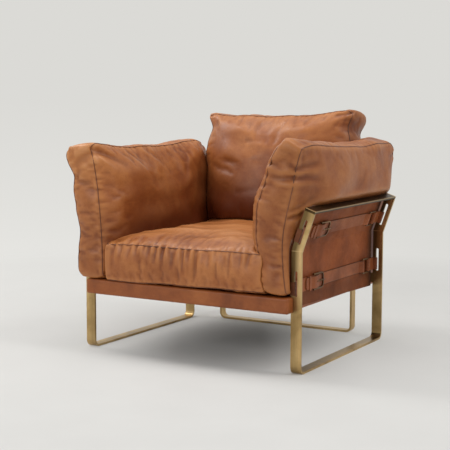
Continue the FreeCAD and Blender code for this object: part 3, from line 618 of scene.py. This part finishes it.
def placed(points, turn, mirror=False):
    """Points turned from the flat cushion's axes to the chair's."""
    moved = points @ np.array(turn).T
    if mirror:
        moved = moved * np.array((-1, 1, 1))
    return moved


def seam_nearness(sheet, reach):
    """1 on the sewn edges, fading to 0 at reach."""
    u, v, w = np.abs(sheet.flat).T
    half_u, half_v, half_w = sheet.half
    inward = np.minimum(half_u - u, half_v - v)
    away = np.where(w > half_w - HAIR, inward, half_w - w)
    return np.clip(1 - away / reach, 0, 1)


# How far the wrinkles and the swelling of the cloth go, the depths that show full painted crease shade or
# a full rub, and how far the painted shade beside a seam reaches
WRINKLE_CAP = 0.008
SWELLING_CAP = 0.006
FULL_CREASE_SHADE = 0.0018
FULL_RUB = 0.003
SEAM_SHADE = 0.012


def slackened(name, sheet, points, quads, liveliness):
    """The cover after it was blown up: the small wrinkles kept, the large swelling held back."""
    moved = blown(name, points, quads, seam_nearness(sheet, 0.0005) > 0) - points
    slow = smoothed(moved, quads, 60)
    fine = moved - slow
    size = np.linalg.norm(fine, axis=1)[:, None]
    fine = fine * np.tanh(size / WRINKLE_CAP) * WRINKLE_CAP / np.maximum(size, 1e-9)
    return points + fine * liveliness(sheet)[:, None] + np.clip(slow, -SWELLING_CAP, SWELLING_CAP)


def all_full(sheet):
    return np.ones(len(sheet.flat))


def nowhere(points):
    return np.zeros(len(points))


def make_cushion(name, half, crowns, cad_crowns, ears, draws, turn, form, crease_it, keep_clear, anchor,
                 seed, rounds=(0.016, 0.016, 0.016, 0.016), swell=0.008, run=0.9, fill=0.6,
                 mirror=False, liveliness=all_full, painted_shade=nowhere, pale=nowhere):
    """Makes one cushion and its two cords, in place of its node, and gives its surface.

    cad_crowns are the faces' crowns in the node, by which anchor finds the flat cushion's place."""
    sheet = Sheet(*half)
    quads = np.array(sheet.quads)
    points = placed(shaped(sheet, cad_crowns, ears, draws, rounds, swell), turn, mirror)
    placing = anchor(points) - points
    points = form(sheet, shaped(sheet, crowns, ears, draws, rounds, swell, run))
    points = slackened(name, sheet, points, quads, liveliness)
    folds = Folds(sheet)
    chance = random.Random(seed)
    crease_it(sheet, folds, chance)
    normal = normals_of(points, quads)
    points = points + normal * (lumps(sheet, chance) - folds.depth)[:, None]
    points = keep_clear(placed(points, turn, mirror) + placing)
    faces = [face[::-1] for face in sheet.quads] if mirror else sheet.quads
    quads = np.array(faces)
    item = new_mesh(name + "_cover", points, faces)
    item.data.materials.append(FINISHES["cushion_leather"])
    # How far each point is folded in or stands out, for the colour: hollows and the seams' edges get
    # painted shade, raised places are paler as rubbed leather
    hollow = ((smoothed(points, quads, 4) - points) * normals_of(points, quads)).sum(1)
    crease_shade = 0.7 * np.clip(hollow / FULL_CREASE_SHADE, 0, 1) + 0.6 * seam_nearness(sheet, SEAM_SHADE) ** 2
    crease_shade = np.clip(crease_shade, 0, 1)
    # pale lays painted light over the rub, on the seat's top front and the left arm's upper front
    rub_and_painted_light = np.clip(-hollow / FULL_RUB, 0, 1) + pale(points)
    for kind, given in (("crease_shade", crease_shade), ("rub_and_painted_light", rub_and_painted_light), ("painted_shade", painted_shade(points))):
        item.data.attributes.new(kind, "FLOAT", "POINT").data.foreach_set("value", given)
    smooth = item.modifiers.new("smooth", "SUBSURF")
    smooth.levels = 1
    smooth.render_levels = 1
    bpy.context.view_layer.objects.active = item
    item.select_set(True)
    bpy.ops.object.modifier_apply(modifier="smooth")
    item.select_set(False)
    for polygon in item.data.polygons:
        polygon.use_smooth = True
    final = read_points(item)
    pieces = [item]
    for top, ending in ((False, "_lower_piping"), (True, "_upper_piping")):
        pieces.append(piping(name + ending, final[sheet.loop(top)]))
    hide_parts(name)
    for piece in pieces:
        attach(piece, name)
    return BVHTree.FromPolygons([tuple(point) for point in points], faces)


def pressed(points, tree, way, room=0.0006, back=0.14):
    """Points that would enter the tree's surface along the way stop in front of it."""
    way = Vector(way)
    result = points.copy()
    for index, point in enumerate(points):
        start = Vector(point) - way * back
        hit, _, _, distance = tree.ray_cast(start, way, back + room)
        if hit is not None:
            result[index] = start + way * (distance - room)
    return result


def tree_of(*names):
    """The surface of some CAD nodes, to press cushions against."""
    places = []
    faces = []
    for name in names:
        mesh = NODES[name].data
        first = len(places)
        places += [tuple(vertex.co) for vertex in mesh.vertices]
        faces += [[first + index for index in polygon.vertices] for polygon in mesh.polygons]
    return BVHTree.FromPolygons(places, faces)


def centre_on(node, low=(), high=()):
    """Gives a function that moves points so that their box meets the node's box.

    Each axis meets at its middle, or at its low or high side if it is named."""
    corner_low, corner_high = [np.array(corner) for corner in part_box(node)]

    def anchor(points):
        now_low = points.min(0)
        now_high = points.max(0)
        shift = ((corner_low + corner_high) - (now_low + now_high)) / 2
        for axis in low:
            shift[axis] = corner_low[axis] - now_low[axis]
        for axis in high:
            shift[axis] = corner_high[axis] - now_high[axis]
        return points + shift
    return anchor


# A hair above the deck's leather
DECK_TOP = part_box("deck_cover")[1].z + 0.0003


def above_deck(points):
    points = points.copy()
    points[:, 2] = np.maximum(points[:, 2], DECK_TOP)
    return points


def rows_of(sheet):
    """Each seam side as (region, axes, start corner, end corner, way inward), on the flat box."""
    half_u, half_v, half_w = sheet.half
    rows = []
    for level in (-1, 1):
        face = sheet.side(2, level)
        for sign in (-1, 1):
            rows.append((face, [0, 1], (-half_u, sign * half_v), (half_u, sign * half_v), (0, -sign)))
            rows.append((face, [0, 1], (sign * half_u, -half_v), (sign * half_u, half_v), (-sign, 0)))
            for axis, half in ((0, half_u), (1, half_v)):
                rows.append((sheet.side(1 - axis, sign), [axis, 2], (-half, level * half_w),
                             (half, level * half_w), (0, -level)))
    return rows


def puckers(sheet, folds, chance, depth=0.0016, length=0.034, gap=0.034):
    """Short gathers that start at every sewn edge and fade away from it."""
    draw = chance.uniform
    for region, axes, start, end, inward in rows_of(sheet):
        start = np.array(start)
        end = np.array(end)
        inward = np.array(inward)
        total = np.linalg.norm(end - start)
        way = (end - start) / total
        place = draw(0.01, gap)
        while place < total - 0.01:
            foot = start + way * place
            reach = length * draw(0.5, 1.6)
            tip = foot + inward * reach + way * draw(-0.4, 0.4) * reach
            folds.crease(region, axes, foot, tip, depth * draw(0.3, 1.5), draw(0.003, 0.007))
            place += gap * draw(0.4, 1.7)


def fan(folds, region, axes, foot, tips, depth, width, chance):
    """Creases that spread from one place, such as a corner that is drawn in."""
    draw = chance.uniform
    for tip in tips:
        folds.crease(region, axes, foot, tip, depth * draw(0.6, 1.1), width * draw(0.8, 1.2),
                     bend=draw(-0.06, 0.06))


def lumps(sheet, chance, height=0.0012):
    """The uneven filling: slow waves over the whole cushion."""
    draw = chance.uniform
    total = np.zeros(len(sheet.flat))
    for _ in range(7):
        wave = np.array([chance.gauss(0, 1) for _ in range(3)])
        wave *= 2 * math.pi / draw(0.08, 0.22) / np.linalg.norm(wave)
        total += np.sin(sheet.flat @ wave + draw(0, 6.28))
    return total * height


def steps(chance, place, end, least, most):
    """Places up to an end, with drawn steps between them."""
    while place < end:
        yield place
        place += chance.uniform(least, most)


def either(chance):
    return -1 if chance.random() < 0.5 else 1


def scattered(folds, region, chance, count, across, along, ways, lengths, depths, widths, bend):
    """Creases anywhere on a face, each drawn from ranges."""
    draw = chance.uniform
    for _ in range(count):
        start = np.array((draw(*across), draw(*along)))
        way = draw(*ways)
        length = draw(*lengths)
        end = start + length * np.array((math.cos(way), math.sin(way)))
        folds.crease(region, [0, 1], start, end, draw(*depths), draw(*widths),
                     bend=draw(-bend, bend))


def seat_creases(sheet, folds, chance):
    draw = chance.uniform
    half_u, half_v, half_w = sheet.half
    puckers(sheet, folds, chance)
    front = sheet.side(1, -1)
    top = sheet.side(2, 1)
    edge = half_u - 0.03
    # Gathers under the front seam, fading downward
    for place in steps(chance, -edge, edge, 0.014, 0.036):
        length = draw(0.03, 0.1)
        lean = draw(-0.012, 0.012)
        strength = 0.8 + 0.7 * hump(-0.05, 0.12, place)
        folds.crease(front, [0, 2], (place, half_w), (place + lean, half_w - length),
                     strength * draw(0.003, 0.008), draw(0.005, 0.009))
    for place in steps(chance, -edge, edge, 0.02, 0.05):
        length = draw(0.02, 0.06)
        folds.crease(top, [0, 1], (place, -half_v), (place + draw(-0.02, 0.02), -half_v + length),
                     draw(0.001, 0.003), draw(0.004, 0.007))
    # Slanting creases on the crown
    scattered(folds, top, chance, 16, (-0.26, 0.26), (-0.3, 0.05), (-0.3, -0.9), (0.05, 0.14),
              (0.0006, 0.0014), (0.005, 0.01), 0.1)


def arm_creases(sheet, folds, chance):
    draw = chance.uniform
    half_u, half_v, half_w = sheet.half
    puckers(sheet, folds, chance, 0.0019)
    for face in (sheet.side(2, -1), sheet.side(2, 1)):
        fan(folds, face, [0, 1], (-half_u, half_v),
            ((-0.29, 0.18), (-0.33, 0.12), (-0.24, 0.215), (-0.355, 0.16)), 0.0042, 0.008, chance)
        fan(folds, face, [0, 1], (half_u, half_v),
            ((0.29, 0.17), (0.33, 0.1), (0.25, 0.21)), 0.0036, 0.009, chance)
        fan(folds, face, [0, 1], (-half_u, -half_v),
            ((-0.31, -0.2), (-0.34, -0.16)), 0.003, 0.008, chance)
        # Slanting creases below the top seam
        for place in steps(chance, -0.3, 0.2, 0.025, 0.07):
            level = half_v - draw(0.002, 0.05)
            length = draw(0.04, 0.11)
            way = draw(0.5, 1.2)
            end = (place + length * math.cos(way), level - length * math.sin(way))
            folds.crease(face, [0, 1], (place, level), end, draw(0.001, 0.0034),
                         draw(0.005, 0.01), bend=draw(-0.12, 0.12))
        # Level creases behind the front seam
        for level in steps(chance, -0.12, 0.14, 0.022, 0.06):
            folds.crease(face, [0, 1], (-half_u, level), (-half_u + draw(0.04, 0.1), level - 0.012),
                         draw(0.0012, 0.003), draw(0.004, 0.008))
        # A slow drape down the face
        folds.lines(face, [0, 1],
                    ((0.26, 0.16), (0.02, -0.16), 0.004, 0.03, 0.5, 0.12),
                    ((-0.05, -0.2), (-0.3, -0.05), 0.003, 0.028, 0.5, -0.1))
    # Creases across the front gusset
    for level in (0.1, 0.128, 0.03, -0.06, 0.17, -0.15):
        side = either(chance)
        folds.crease(sheet.side(0, -1), [2, 1], (side * half_w, level),
                     (-side * 0.02, level + draw(-0.02, 0.01)),
                     draw(0.0018, 0.004), draw(0.005, 0.009), bend=draw(-0.15, 0.15))
    for place in steps(chance, -0.33, 0.34, 0.03, 0.09):
        side = either(chance)
        folds.crease(sheet.side(1, 1), [0, 2], (place, side * half_w),
                     (place + draw(-0.03, 0.03), -side * 0.015),
                     draw(0.0012, 0.003), draw(0.005, 0.009))


def left_arm_creases(sheet, folds, chance):
    arm_creases(sheet, folds, chance)
    half_w = sheet.half[2]
    # Hollows that spread from the ear's seam over the inner side
    folds.lines(sheet.side(2, -1), [0, 1],
                ((-0.378, 0.222), (-0.24, 0.155), 0.014, 0.018, 0.6, 0.05),
                ((-0.378, 0.236), (-0.29, 0.198), 0.005, 0.008, 0.7),
                ((-0.2, 0.235), (-0.13, 0.15), 0.004, 0.009, 0.7, 0.06),
                ((-0.08, 0.24), (0.02, 0.15), 0.004, 0.009, 0.7, 0.06))
    # The front's hollow, and the deep tuck below the ear
    folds.lines(sheet.side(0, -1), [2, 1],
                ((-half_w, 0.21), (half_w * 0.5, 0.160), 0.011, 0.014, 0.4, 0.08),
                ((half_w - 0.012, 0.122), (-0.03, 0.1), 0.006, 0.009, 0.7, 0.1),
                ((half_w - 0.012, 0.126), (0.0, 0.15), 0.004, 0.007, 0.7, -0.1))


def right_liveliness(sheet):
    """The outer face is filled tight, so it wrinkles less than the others."""
    return np.where(sheet.side(2, 1), 0.16, 0.5)


def right_arm_creases(sheet, folds, chance):
    arm_creases(sheet, folds, chance)
    half_w = sheet.half[2]
    outer = sheet.side(2, 1)
    # The outer face is filled tight, so its creases are shallow
    folds.depth *= np.where(outer, 0.35, 1.0)
    # Folds drawn to the front corner of the top rail
    folds.lines(outer, [0, 1],
                ((-0.372, 0.008), (-0.24, 0.066), 0.008, 0.007, 0.5, -0.06),
                ((-0.372, 0.03), (-0.28, 0.085), 0.004, 0.008, 0.6, -0.05))
    fan(folds, outer, [0, 1], (0.375, 0.2),
        ((0.29, 0.18), (0.31, 0.14), (0.27, 0.21)), 0.004, 0.008, chance)
    folds.lines(sheet.side(0, -1), [2, 1],
                ((half_w, 0.142), (-half_w * 0.9, 0.128), 0.010, 0.010, 0.5, 0.06),
                ((half_w, 0.165), (0.0, 0.185), 0.005, 0.008, 0.6, -0.08),
                ((-half_w, 0.17), (half_w * 0.3, 0.2), 0.004, 0.008, 0.6, -0.08),
                ((-half_w, 0.06), (half_w * 0.1, 0.05), 0.004, 0.007, 0.6, 0.05))
    # Level folds drawn rearward from the front seam
    folds.lines(outer, [0, 1],
                ((-0.378, 0.168), (-0.25, 0.182), 0.006, 0.010, 0.7, 0.05),
                ((-0.378, 0.138), (-0.25, 0.128), 0.006, 0.010, 0.7, 0.05))


def back_creases(sheet, folds, chance):
    half_u, half_v = sheet.half[:2]
    puckers(sheet, folds, chance, 0.0019)
    for face in (sheet.side(2, 1), sheet.side(2, -1)):
        fan(folds, face, [0, 1], (half_u, half_v),
            ((0.21, 0.17), (0.24, 0.12), (0.18, 0.2), (0.27, 0.09)), 0.0048, 0.009, chance)
        fan(folds, face, [0, 1], (-half_u, half_v),
            ((-0.22, 0.18), (-0.25, 0.13), (-0.2, 0.205)), 0.0044, 0.009, chance)
        for side in (-1, 1):
            fan(folds, face, [0, 1], (side * half_u, -half_v),
                ((side * 0.23, -0.15), (side * 0.25, -0.1), (side * 0.18, -0.18)), 0.004, 0.01, chance)
        scattered(folds, face, chance, 12, (-0.24, 0.24), (-0.12, 0.17), (-0.5, 0.5), (0.05, 0.15),
                  (0.0008, 0.0022), (0.006, 0.013), 0.15)


def lean_matrix(kind, degrees):
    return np.array(Matrix.Rotation(math.radians(degrees), 3, kind))


upright = np.array(((0, 0, 1), (1, 0, 0), (0, 1, 0)), float)
arm_turn = lean_matrix("Y", 5.5) @ upright

# How far inboard of the frame's inner edge the panel keeps a cushion, how long the bow is up its
# lean, and how steeply a cushion may lean out above the rail
PANEL_ROOM = 0.0099
BOW_LENGTH = 0.1495
RAIL_FLARE = 1.1
# A cushion's front end swells freely in front of this line
FRONT_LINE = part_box("right_upper_buckle_tab")[0].y - 0.003


def clear_of_side(points):
    """Keeps the right arm cushion above the deck and inboard of the side frame and its panel.

    Above the rail it may lean over it by degrees."""
    points = above_deck(points)
    inner = SIDE_INNER - PANEL_ROOM
    x, y, z = points.T.copy()
    # Height along the leaning bow, measured from the kink
    up_bow = (x - SIDE_INNER) * math.sin(RAIL_LEAN) + (z - KINK_LEVEL) * math.cos(RAIL_LEAN)
    past_kink = np.maximum(0, z - KINK_LEVEL - PANEL_ROOM * math.tan(RAIL_LEAN / 2))
    limit = inner + past_kink * math.tan(RAIL_LEAN) + RAIL_FLARE * np.maximum(0, up_bow - BOW_LENGTH)
    inside = (y > FRONT_LINE) & (x > limit)
    x = np.where(inside, limit, x)
    return np.stack((x, y, z), 1)


def clear_of_left(points):
    flip = np.array((-1, 1, 1))
    return clear_of_side(points * flip) * flip


def right_arm_form(sheet, points):
    """The front end bows in toward the seat beside the upright, its top stands a little higher and its
    foot lifts, and the rear corner is drawn in."""
    half_u, half_v, half_w = sheet.half
    x, y, z = points.T.copy()
    up = np.clip((y + half_v) / (2 * half_v), 0, 1)
    front = 1 - smooth_step(-half_u, -half_u + 0.24, x)
    outer = smooth_step(-half_w, half_w, z)
    rim = hump(-half_u, 0.05, x) * up ** 4
    z = z - 0.056 * np.sin(np.pi * up) * front + 0.008 * up ** 4 * front * (1 - outer)
    z = z - 0.010 * smooth_step(0.72, 1, up) * front * outer
    z = z - 0.016 * (1 - up) ** 3 * front * outer + 0.010 * hump(0.62, 0.2, up) * front * outer
    rear = smooth_step(0.1, half_u, x)
    y = y + 0.010 * smooth_step(-0.1, half_v, y) + 0.006 * rim * (1 - outer) - 0.012 * rim * outer
    y = y - 0.012 * rear * smooth_step(0, half_v, y) + 0.009 * (1 - up) ** 4 * front
    z = z - 0.006 * (1 - up) ** 3 * front
    y = y - 0.007 * hump(0.06, 0.2, x) * up ** 2
    x = x - 0.020 * rear * up ** 3 * outer - 0.008 * rear * up ** 2 * (1 - outer)
    return np.stack((x, y, z), 1)


def left_arm_form(sheet, points):
    """The top sags behind its front ear, and the front corner puffs outward with a fold below it."""
    half_u, half_v, half_w = sheet.half
    x, y, z = points.T.copy()
    top = smooth_step(0, half_v, y)
    outer = smooth_step(-half_w, half_w, z)
    sag = 0.012 + 0.009 * hump(-0.05, 0.26, x) + 0.008 * outer * smooth_step(-half_u, -half_u + 0.1, x)
    y = y - sag * top
    ear = hump(-half_u, 0.07, x) * hump(half_v - 0.05, 0.045, y)
    z = z + 0.020 * ear * outer
    tuck = hump(-half_u, 0.05, x) * hump(half_v - 0.118, 0.02, y)
    z = z - 0.006 * tuck * outer
    # The front end stands a little outward, more at its top and foot, and its outer seam wavers
    front = 1 - smooth_step(-half_u, -half_u + 0.2, x)
    up = y / half_v
    z = z + (0.007 + 0.008 * up ** 2) * front + front * outer * (0.004 + 0.005 * np.sin(y * 26 + 0.4))
    return np.stack((x, y, z), 1)


# How far from the middle the room between the cushions ends, first begun and then full
BETWEEN = (0.38, 0.43)


def shade_between(points, most, low, high, front, rear):
    """Painted shade that rises to the share most low down between the cushions, and is 0 on their outer
    sides.
    """
    x, y, z = points.T
    between = 1 - smooth_step(*BETWEEN, np.abs(x))
    return most * (1 - smooth_step(low, high, z)) * smooth_step(front, rear, y) * between


def nook(points):
    """Painted shade that rises where an arm's inner side meets the seat cushion and the back cushion."""
    by_seat = shade_between(points, 0.36, 0.43, 0.53, -0.42, -0.36)
    return by_seat + shade_between(points, 0.3, 0.55, 0.78, 0.08, 0.28)


# Painted shade on each cushion: low down and between the cushions, in the nooks where they meet, a little
# all over the right arm and more on the back's right side
def right_painted_shade(points):
    return np.clip(0.2 + shade_between(points, 0.3, 0.4, 0.74, -0.44, -0.3) + nook(points), 0, 0.92)


def left_painted_shade(points):
    foot = 0.16 * (1 - smooth_step(0.35, 0.66, points[:, 2]))
    return np.clip(foot + shade_between(points, 0.46, 0.5, 0.76, -0.44, -0.2) + nook(points), 0, 0.92)


# Painted light on the upper front of the left arm
def left_painted_light(points):
    return 0.7 * smooth_step(0.56, 0.7, points[:, 2]) * (1 - smooth_step(-0.42, -0.38, points[:, 1]))


def seat_painted_shade(points):
    return shade_between(points, 0.5, 1, 2, 0.05, 0.36)


# Painted light on the seat's top toward the front, up to a painted highlight
def seat_painted_light(points):
    return 1.2 * smooth_step(0.42, 0.45, points[:, 2]) * (1 - smooth_step(-0.1, 0.3, points[:, 1]))


def back_painted_shade(points):
    side = 0.3 * smooth_step(0.27, 0.31, points[:, 0])
    return np.clip(0.1 + side + shade_between(points, 0.85, 0.46, 0.76, 0.06, 0.12), 0, 0.95)


ARM = {
    "half": (0.381, 0.246, 0.049),
    "crowns": (0.056, 0.028),
    "cad_crowns": (0.016, 0.016),
    "ears": (0, 0.006),
    "draws": (0.002, 0.006, 0.010),
    "turn": arm_turn,
}
right_tree = make_cushion("right_arm_cushion", **ARM, form=right_arm_form, crease_it=right_arm_creases,
                          keep_clear=clear_of_side,
                          anchor=centre_on("right_arm_cushion", low=(0, 2)), seed=11,
                          rounds=(0.014, 0.022, 0.02, 0.06), liveliness=right_liveliness,
                          painted_shade=right_painted_shade)
left_tree = make_cushion("left_arm_cushion", **ARM, form=left_arm_form, crease_it=left_arm_creases,
                         keep_clear=clear_of_left,
                         anchor=centre_on("left_arm_cushion", low=(2,), high=(0,)), seed=12,
                         rounds=(0.024, 0.03, 0.02, 0.10), swell=0.006, mirror=True,
                         painted_shade=left_painted_shade, pale=left_painted_light)


def between_arms(points):
    points = pressed(points, right_tree, (1, 0, 0))
    return pressed(points, left_tree, (-1, 0, 0))


SEAT_TRAVEL = 0.3
SEAT_STEPS = 7


def seat_place(points):
    """The seat cushion keeps clear of the arms' swollen sides all the way as it slides out."""
    for share in np.linspace(0, 1, SEAT_STEPS):
        slide = np.array((0, -SEAT_TRAVEL * share, 0))
        points = between_arms(points + slide) - slide
    return above_deck(points)


def seat_form(sheet, points):
    """The foot's front edge lifts, most at the right, the right end stands a little higher, and the
    sides reach out to the arms."""
    half_u, half_v, half_w = sheet.half
    x, y, z = points.T.copy()
    front = hump(-half_v, 0.03, y)
    rightward = np.clip((x / half_u + 1) / 2, 0, 1)
    z = z + (0.001 + 0.013 * rightward) * front * (1 - smooth_step(-half_w, 0, z))
    z = z + (0.005 + 0.005 * x / half_u) * smooth_step(0, half_w, z)
    x = x + 0.012 * np.sign(x) * smooth_step(half_u - 0.03, half_u, np.abs(x))
    return np.stack((x, y, z), 1)


seat_tree = make_cushion("seat_cushion", half=(0.314, 0.372, 0.066), crowns=(0.0003, 0.034),
                         cad_crowns=(0.0003, 0.034), ears=(0, 0), draws=(0.002, 0.004, 0.002),
                         turn=np.eye(3), form=seat_form, crease_it=seat_creases,
                         keep_clear=seat_place, anchor=centre_on("seat_cushion", low=(2,)), seed=3,
                         run=0.5, fill=0.7, painted_shade=seat_painted_shade, pale=seat_painted_light)

behind_tree = tree_of("back_panel", "back_upper_bow")


def back_place(points):
    points = between_arms(points)
    points = pressed(points, behind_tree, (0, 1, 0))
    return pressed(points, seat_tree, (0, 0, -1))


def back_form(sheet, points):
    """The left ear hangs lower than the right one, each has a waist below it, and the sides are
    pressed thin between the arms, most of all at the foot."""
    half_u, half_v, half_w = sheet.half
    x, y, z = points.T.copy()
    top = smooth_step(0, half_v, y)
    up = np.clip((y + half_v) / (2 * half_v), 0, 1)
    edge = smooth_step(half_u - 0.06, half_u, np.abs(x))
    ear = hump(half_v, 0.03, y)
    waist = hump(half_v * 0.74, 0.028, y)
    belly = 1 - smooth_step(half_v * 0.2, half_v * 0.8, y)
    side = smooth_step(half_u - 0.15, half_u, np.abs(x))
    front = smooth_step(-half_w, half_w, z)
    y = y + (-0.004 + 0.009 * x / half_u) * top
    x = x + np.sign(x) * edge * (np.where(x > 0, 0.005, 0.012) * ear - 0.008 * waist + 0.030 * belly)
    y = y - 0.012 * smooth_step(0.1, half_v, -y)
    z = z - 0.017 - side * front * (0.012 + 0.062 * (1 - up))
    return np.stack((x, y, z), 1)


make_cushion("back_cushion", half=(0.306, 0.218, 0.068), crowns=(0.014, 0.056),
             cad_crowns=(0.032, 0.032), ears=(0, 0.012), draws=(0, 0.012, 0.014),
             turn=lean_matrix("X", 75), form=back_form, crease_it=back_creases,
             keep_clear=back_place, anchor=centre_on("back_cushion"), seed=5,
             rounds=(0.018, 0.028, 0.018, 0.034), run=0.95, painted_shade=back_painted_shade)


# Stitches along the edges of the panels and straps. Each row is found by rays onto the leather, and
# leaves out the places where a buckle, a tab or another piece lies on top.

def thread_mesh(name, stitches, wide=0.0005, lift=0.0001, around=5):
    """Short rounded threads, each from a start to an end with the leather's normal."""
    points = []
    faces = []
    for start, end, normal in stitches:
        way = (end - start).normalized()
        across = way.cross(normal).normalized()
        first = len(points)
        for share, size in ((0.0, 0.3), (0.25, 1.0), (0.75, 1.0), (1.0, 0.3)):
            middle = start.lerp(end, share) + normal * lift
            for turn in range(around):
                angle = 2 * math.pi * turn / around
                beside = math.cos(angle) * across + math.sin(angle) * normal
                points.append(middle + wide * size * beside)
        for ring in range(3):
            for turn in range(around):
                after = (turn + 1) % around
                low = first + ring * around
                faces.append((low + turn, low + after, low + around + after, low + around + turn))
        faces.append([first + turn for turn in range(around - 1, -1, -1)])
        faces.append([first + 3 * around + turn for turn in range(around)])
    item = new_mesh(name, points, faces)
    item.data.materials.append(thread)
    return item


# Where the rays start, and how far behind a face another piece may lie and still cover it
STAND_OFF = 0.7
COVER_DEPTH = 0.004


def sewn_rows(node_name, others, side, inset, pitch=0.0052, length=0.0036):
    """Rows of stitches round a panel's or strap's outer face, seen along the given axis."""
    own = tree_of(node_name)
    above = tree_of(*others)
    low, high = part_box(node_name)
    axis, sign = side
    along = 1 - axis
    outward = Vector((0, 0, 0))
    outward[axis] = sign
    corners = [(low[along] + inset, low.z + inset), (high[along] - inset, low.z + inset),
               (high[along] - inset, high.z - inset), (low[along] + inset, high.z - inset)]
    stitches = []
    for start, end in zip(corners, corners[1:] + corners[:1]):
        start = np.array(start)
        end = np.array(end)
        total = np.linalg.norm(end - start)
        way = (end - start) / total
        for step in range(int(total / pitch)):
            ends = []
            for place in (start + way * step * pitch, start + way * (step * pitch + length)):
                origin = Vector((0, 0, place[1]))
                origin[along] = place[0]
                origin[axis] = sign * STAND_OFF
                hit, normal, _, distance = own.ray_cast(origin, -outward)
                if hit is None or normal.dot(outward) <= 0.5:
                    continue
                cover, _, _, cover_distance = above.ray_cast(origin, -outward, STAND_OFF)
                if cover is None or cover_distance > distance + COVER_DEPTH:
                    ends.append((hit, normal))
            if len(ends) == 2:
                stitches.append((ends[0][0], ends[1][0], ends[0][1]))
    if stitches:
        row = thread_mesh(node_name + "_stitches", stitches)
        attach(row, "chair")
        finish_of(node_name)


for frame_side, direction in (("left", (0, -1)), ("right", (0, 1)), ("back", (1, 1))):
    hardware = ["strap_keepers"]
    for name in NODES:
        if name.startswith(frame_side) and any(word in name for word in ("buckle", "ring", "sled", "bow")):
            hardware.append(name)
    straps = [frame_side + "_upper_strap", frame_side + "_lower_strap"]
    sewn_rows(frame_side + "_panel", hardware + straps, direction, 0.007)
    for strap in straps:
        sewn_rows(strap, hardware, direction, 0.0035)


# The stage: a pale sweep, soft lights and a plain world

BACKDROP = srgb(219, 218, 214)


def sweep():
    """A floor that curves up into a wall behind. Its own +Y points away from the camera.

    The far floor and the wall show a tone of their own, which lights nothing, with painted light making it
    paler to the left, low down and near the chair."""
    wall = 3.2
    bend = 1.4
    far = 14
    outline = [(-far, 0.0), (0.0, 0.0)]
    for i in range(13):
        turn = math.radians(90 * i / 12)
        outline.append((wall + bend * math.sin(turn), bend * (1 - math.cos(turn))))
    outline.append((wall + bend, far))
    points = []
    for side in (-far, far):
        for along, level in outline:
            points.append((side, along, level))
    count = len(outline)
    faces = [(i, count + i, count + i + 1, i + 1) for i in range(count - 1)]
    item = new_mesh("sweep", points, faces)
    item.rotation_euler.z = -math.atan2(CAMERA_AIM.x - CAMERA_PLACE.x, CAMERA_AIM.y - CAMERA_PLACE.y)
    n = Nodes("studio_paper")
    floor = n.ramp(n.noise(3, 3), (0.3, srgb(208, 207, 204)), (0.7, srgb(212, 211, 208)))
    n.finish(floor, 0.9, gloss_level=0.1)
    across, _, level = n.axes()
    away = n.add("ShaderNodeVectorMath", {0: n.place}, operation="LENGTH").outputs["Value"]
    # Painted light: the seen tone is paler to the left, low down and near the chair
    tone = n.over(srgb(230, 229, 225), BACKDROP, across, -1.6, 1.8)
    tone = n.over(tone, BACKDROP, level, 0.0, 0.9)
    tone = n.over(tone, BACKDROP, away, 3.0, 7.0)
    glow = n.add("ShaderNodeEmission", {"Color": tone})
    # Even far off; beside the chair, a little painted light over the floor's shadow to soften it
    beside = n.maths("ABSOLUTE", n.maths("ADD", across, 0.08))
    backdrop_and_painted_light = n.maths("MAXIMUM", n.spread(away, 1.0, 2.6), n.spread(beside, 0.16, 0.5, 0.0, 0.34))
    shares = {0: n.times(n.seen(), backdrop_and_painted_light), 1: n.shader.outputs[0], 2: glow.outputs[0]}
    both = n.add("ShaderNodeMixShader", shares)
    n.feed(n.output, {"Surface": both.outputs[0]})
    item.data.materials.append(n.material)
    return item


sweep()


def area_light(name, place, aim, wide, high, power):
    lamp = bpy.data.lights.new(name, "AREA")
    lamp.shape = "RECTANGLE"
    lamp.size = wide
    lamp.size_y = high
    lamp.energy = power
    item = added(name, lamp)
    item.location = place
    item.visible_camera = False
    item.rotation_euler = (Vector(aim) - Vector(place)).to_track_quat("-Z", "Y").to_euler()


area_light("over", (0.1, 0.2, 4.2), (0, 0, 0), 3.6, 0.8, 36)
area_light("left", (-2.7, -0.3, 3.3), (0, 0, 0.2), 0.9, 3.0, 68)
area_light("right", (2.7, 0.05, 3.3), (0, 0, 0.2), 0.9, 3.0, 48)
area_light("front", (-1.3, -4.9, 2.4), (0, 0, 0.3), 3.0, 1.6, 58)


def plain_world(seen_tone, strength):
    """Plain white light, while the camera and reflections see the backdrop's tone past its edge."""
    world = bpy.data.worlds.new("studio")
    bpy.context.scene.world = world
    sky = Tree(world)
    light = sky.tree.nodes["Background"]
    sky.feed(light, {"Color": (1, 1, 1, 1), "Strength": strength})
    seen = sky.add("ShaderNodeBackground", {"Color": seen_tone})
    both = sky.add("ShaderNodeMixShader", {0: sky.seen(), 1: light.outputs[0], 2: seen.outputs[0]})
    sky.feed(sky.tree.nodes["World Output"], {"Surface": both.outputs[0]})


plain_world(BACKDROP, 0.56)

bpy.context.scene.view_settings.view_transform = "Standard"
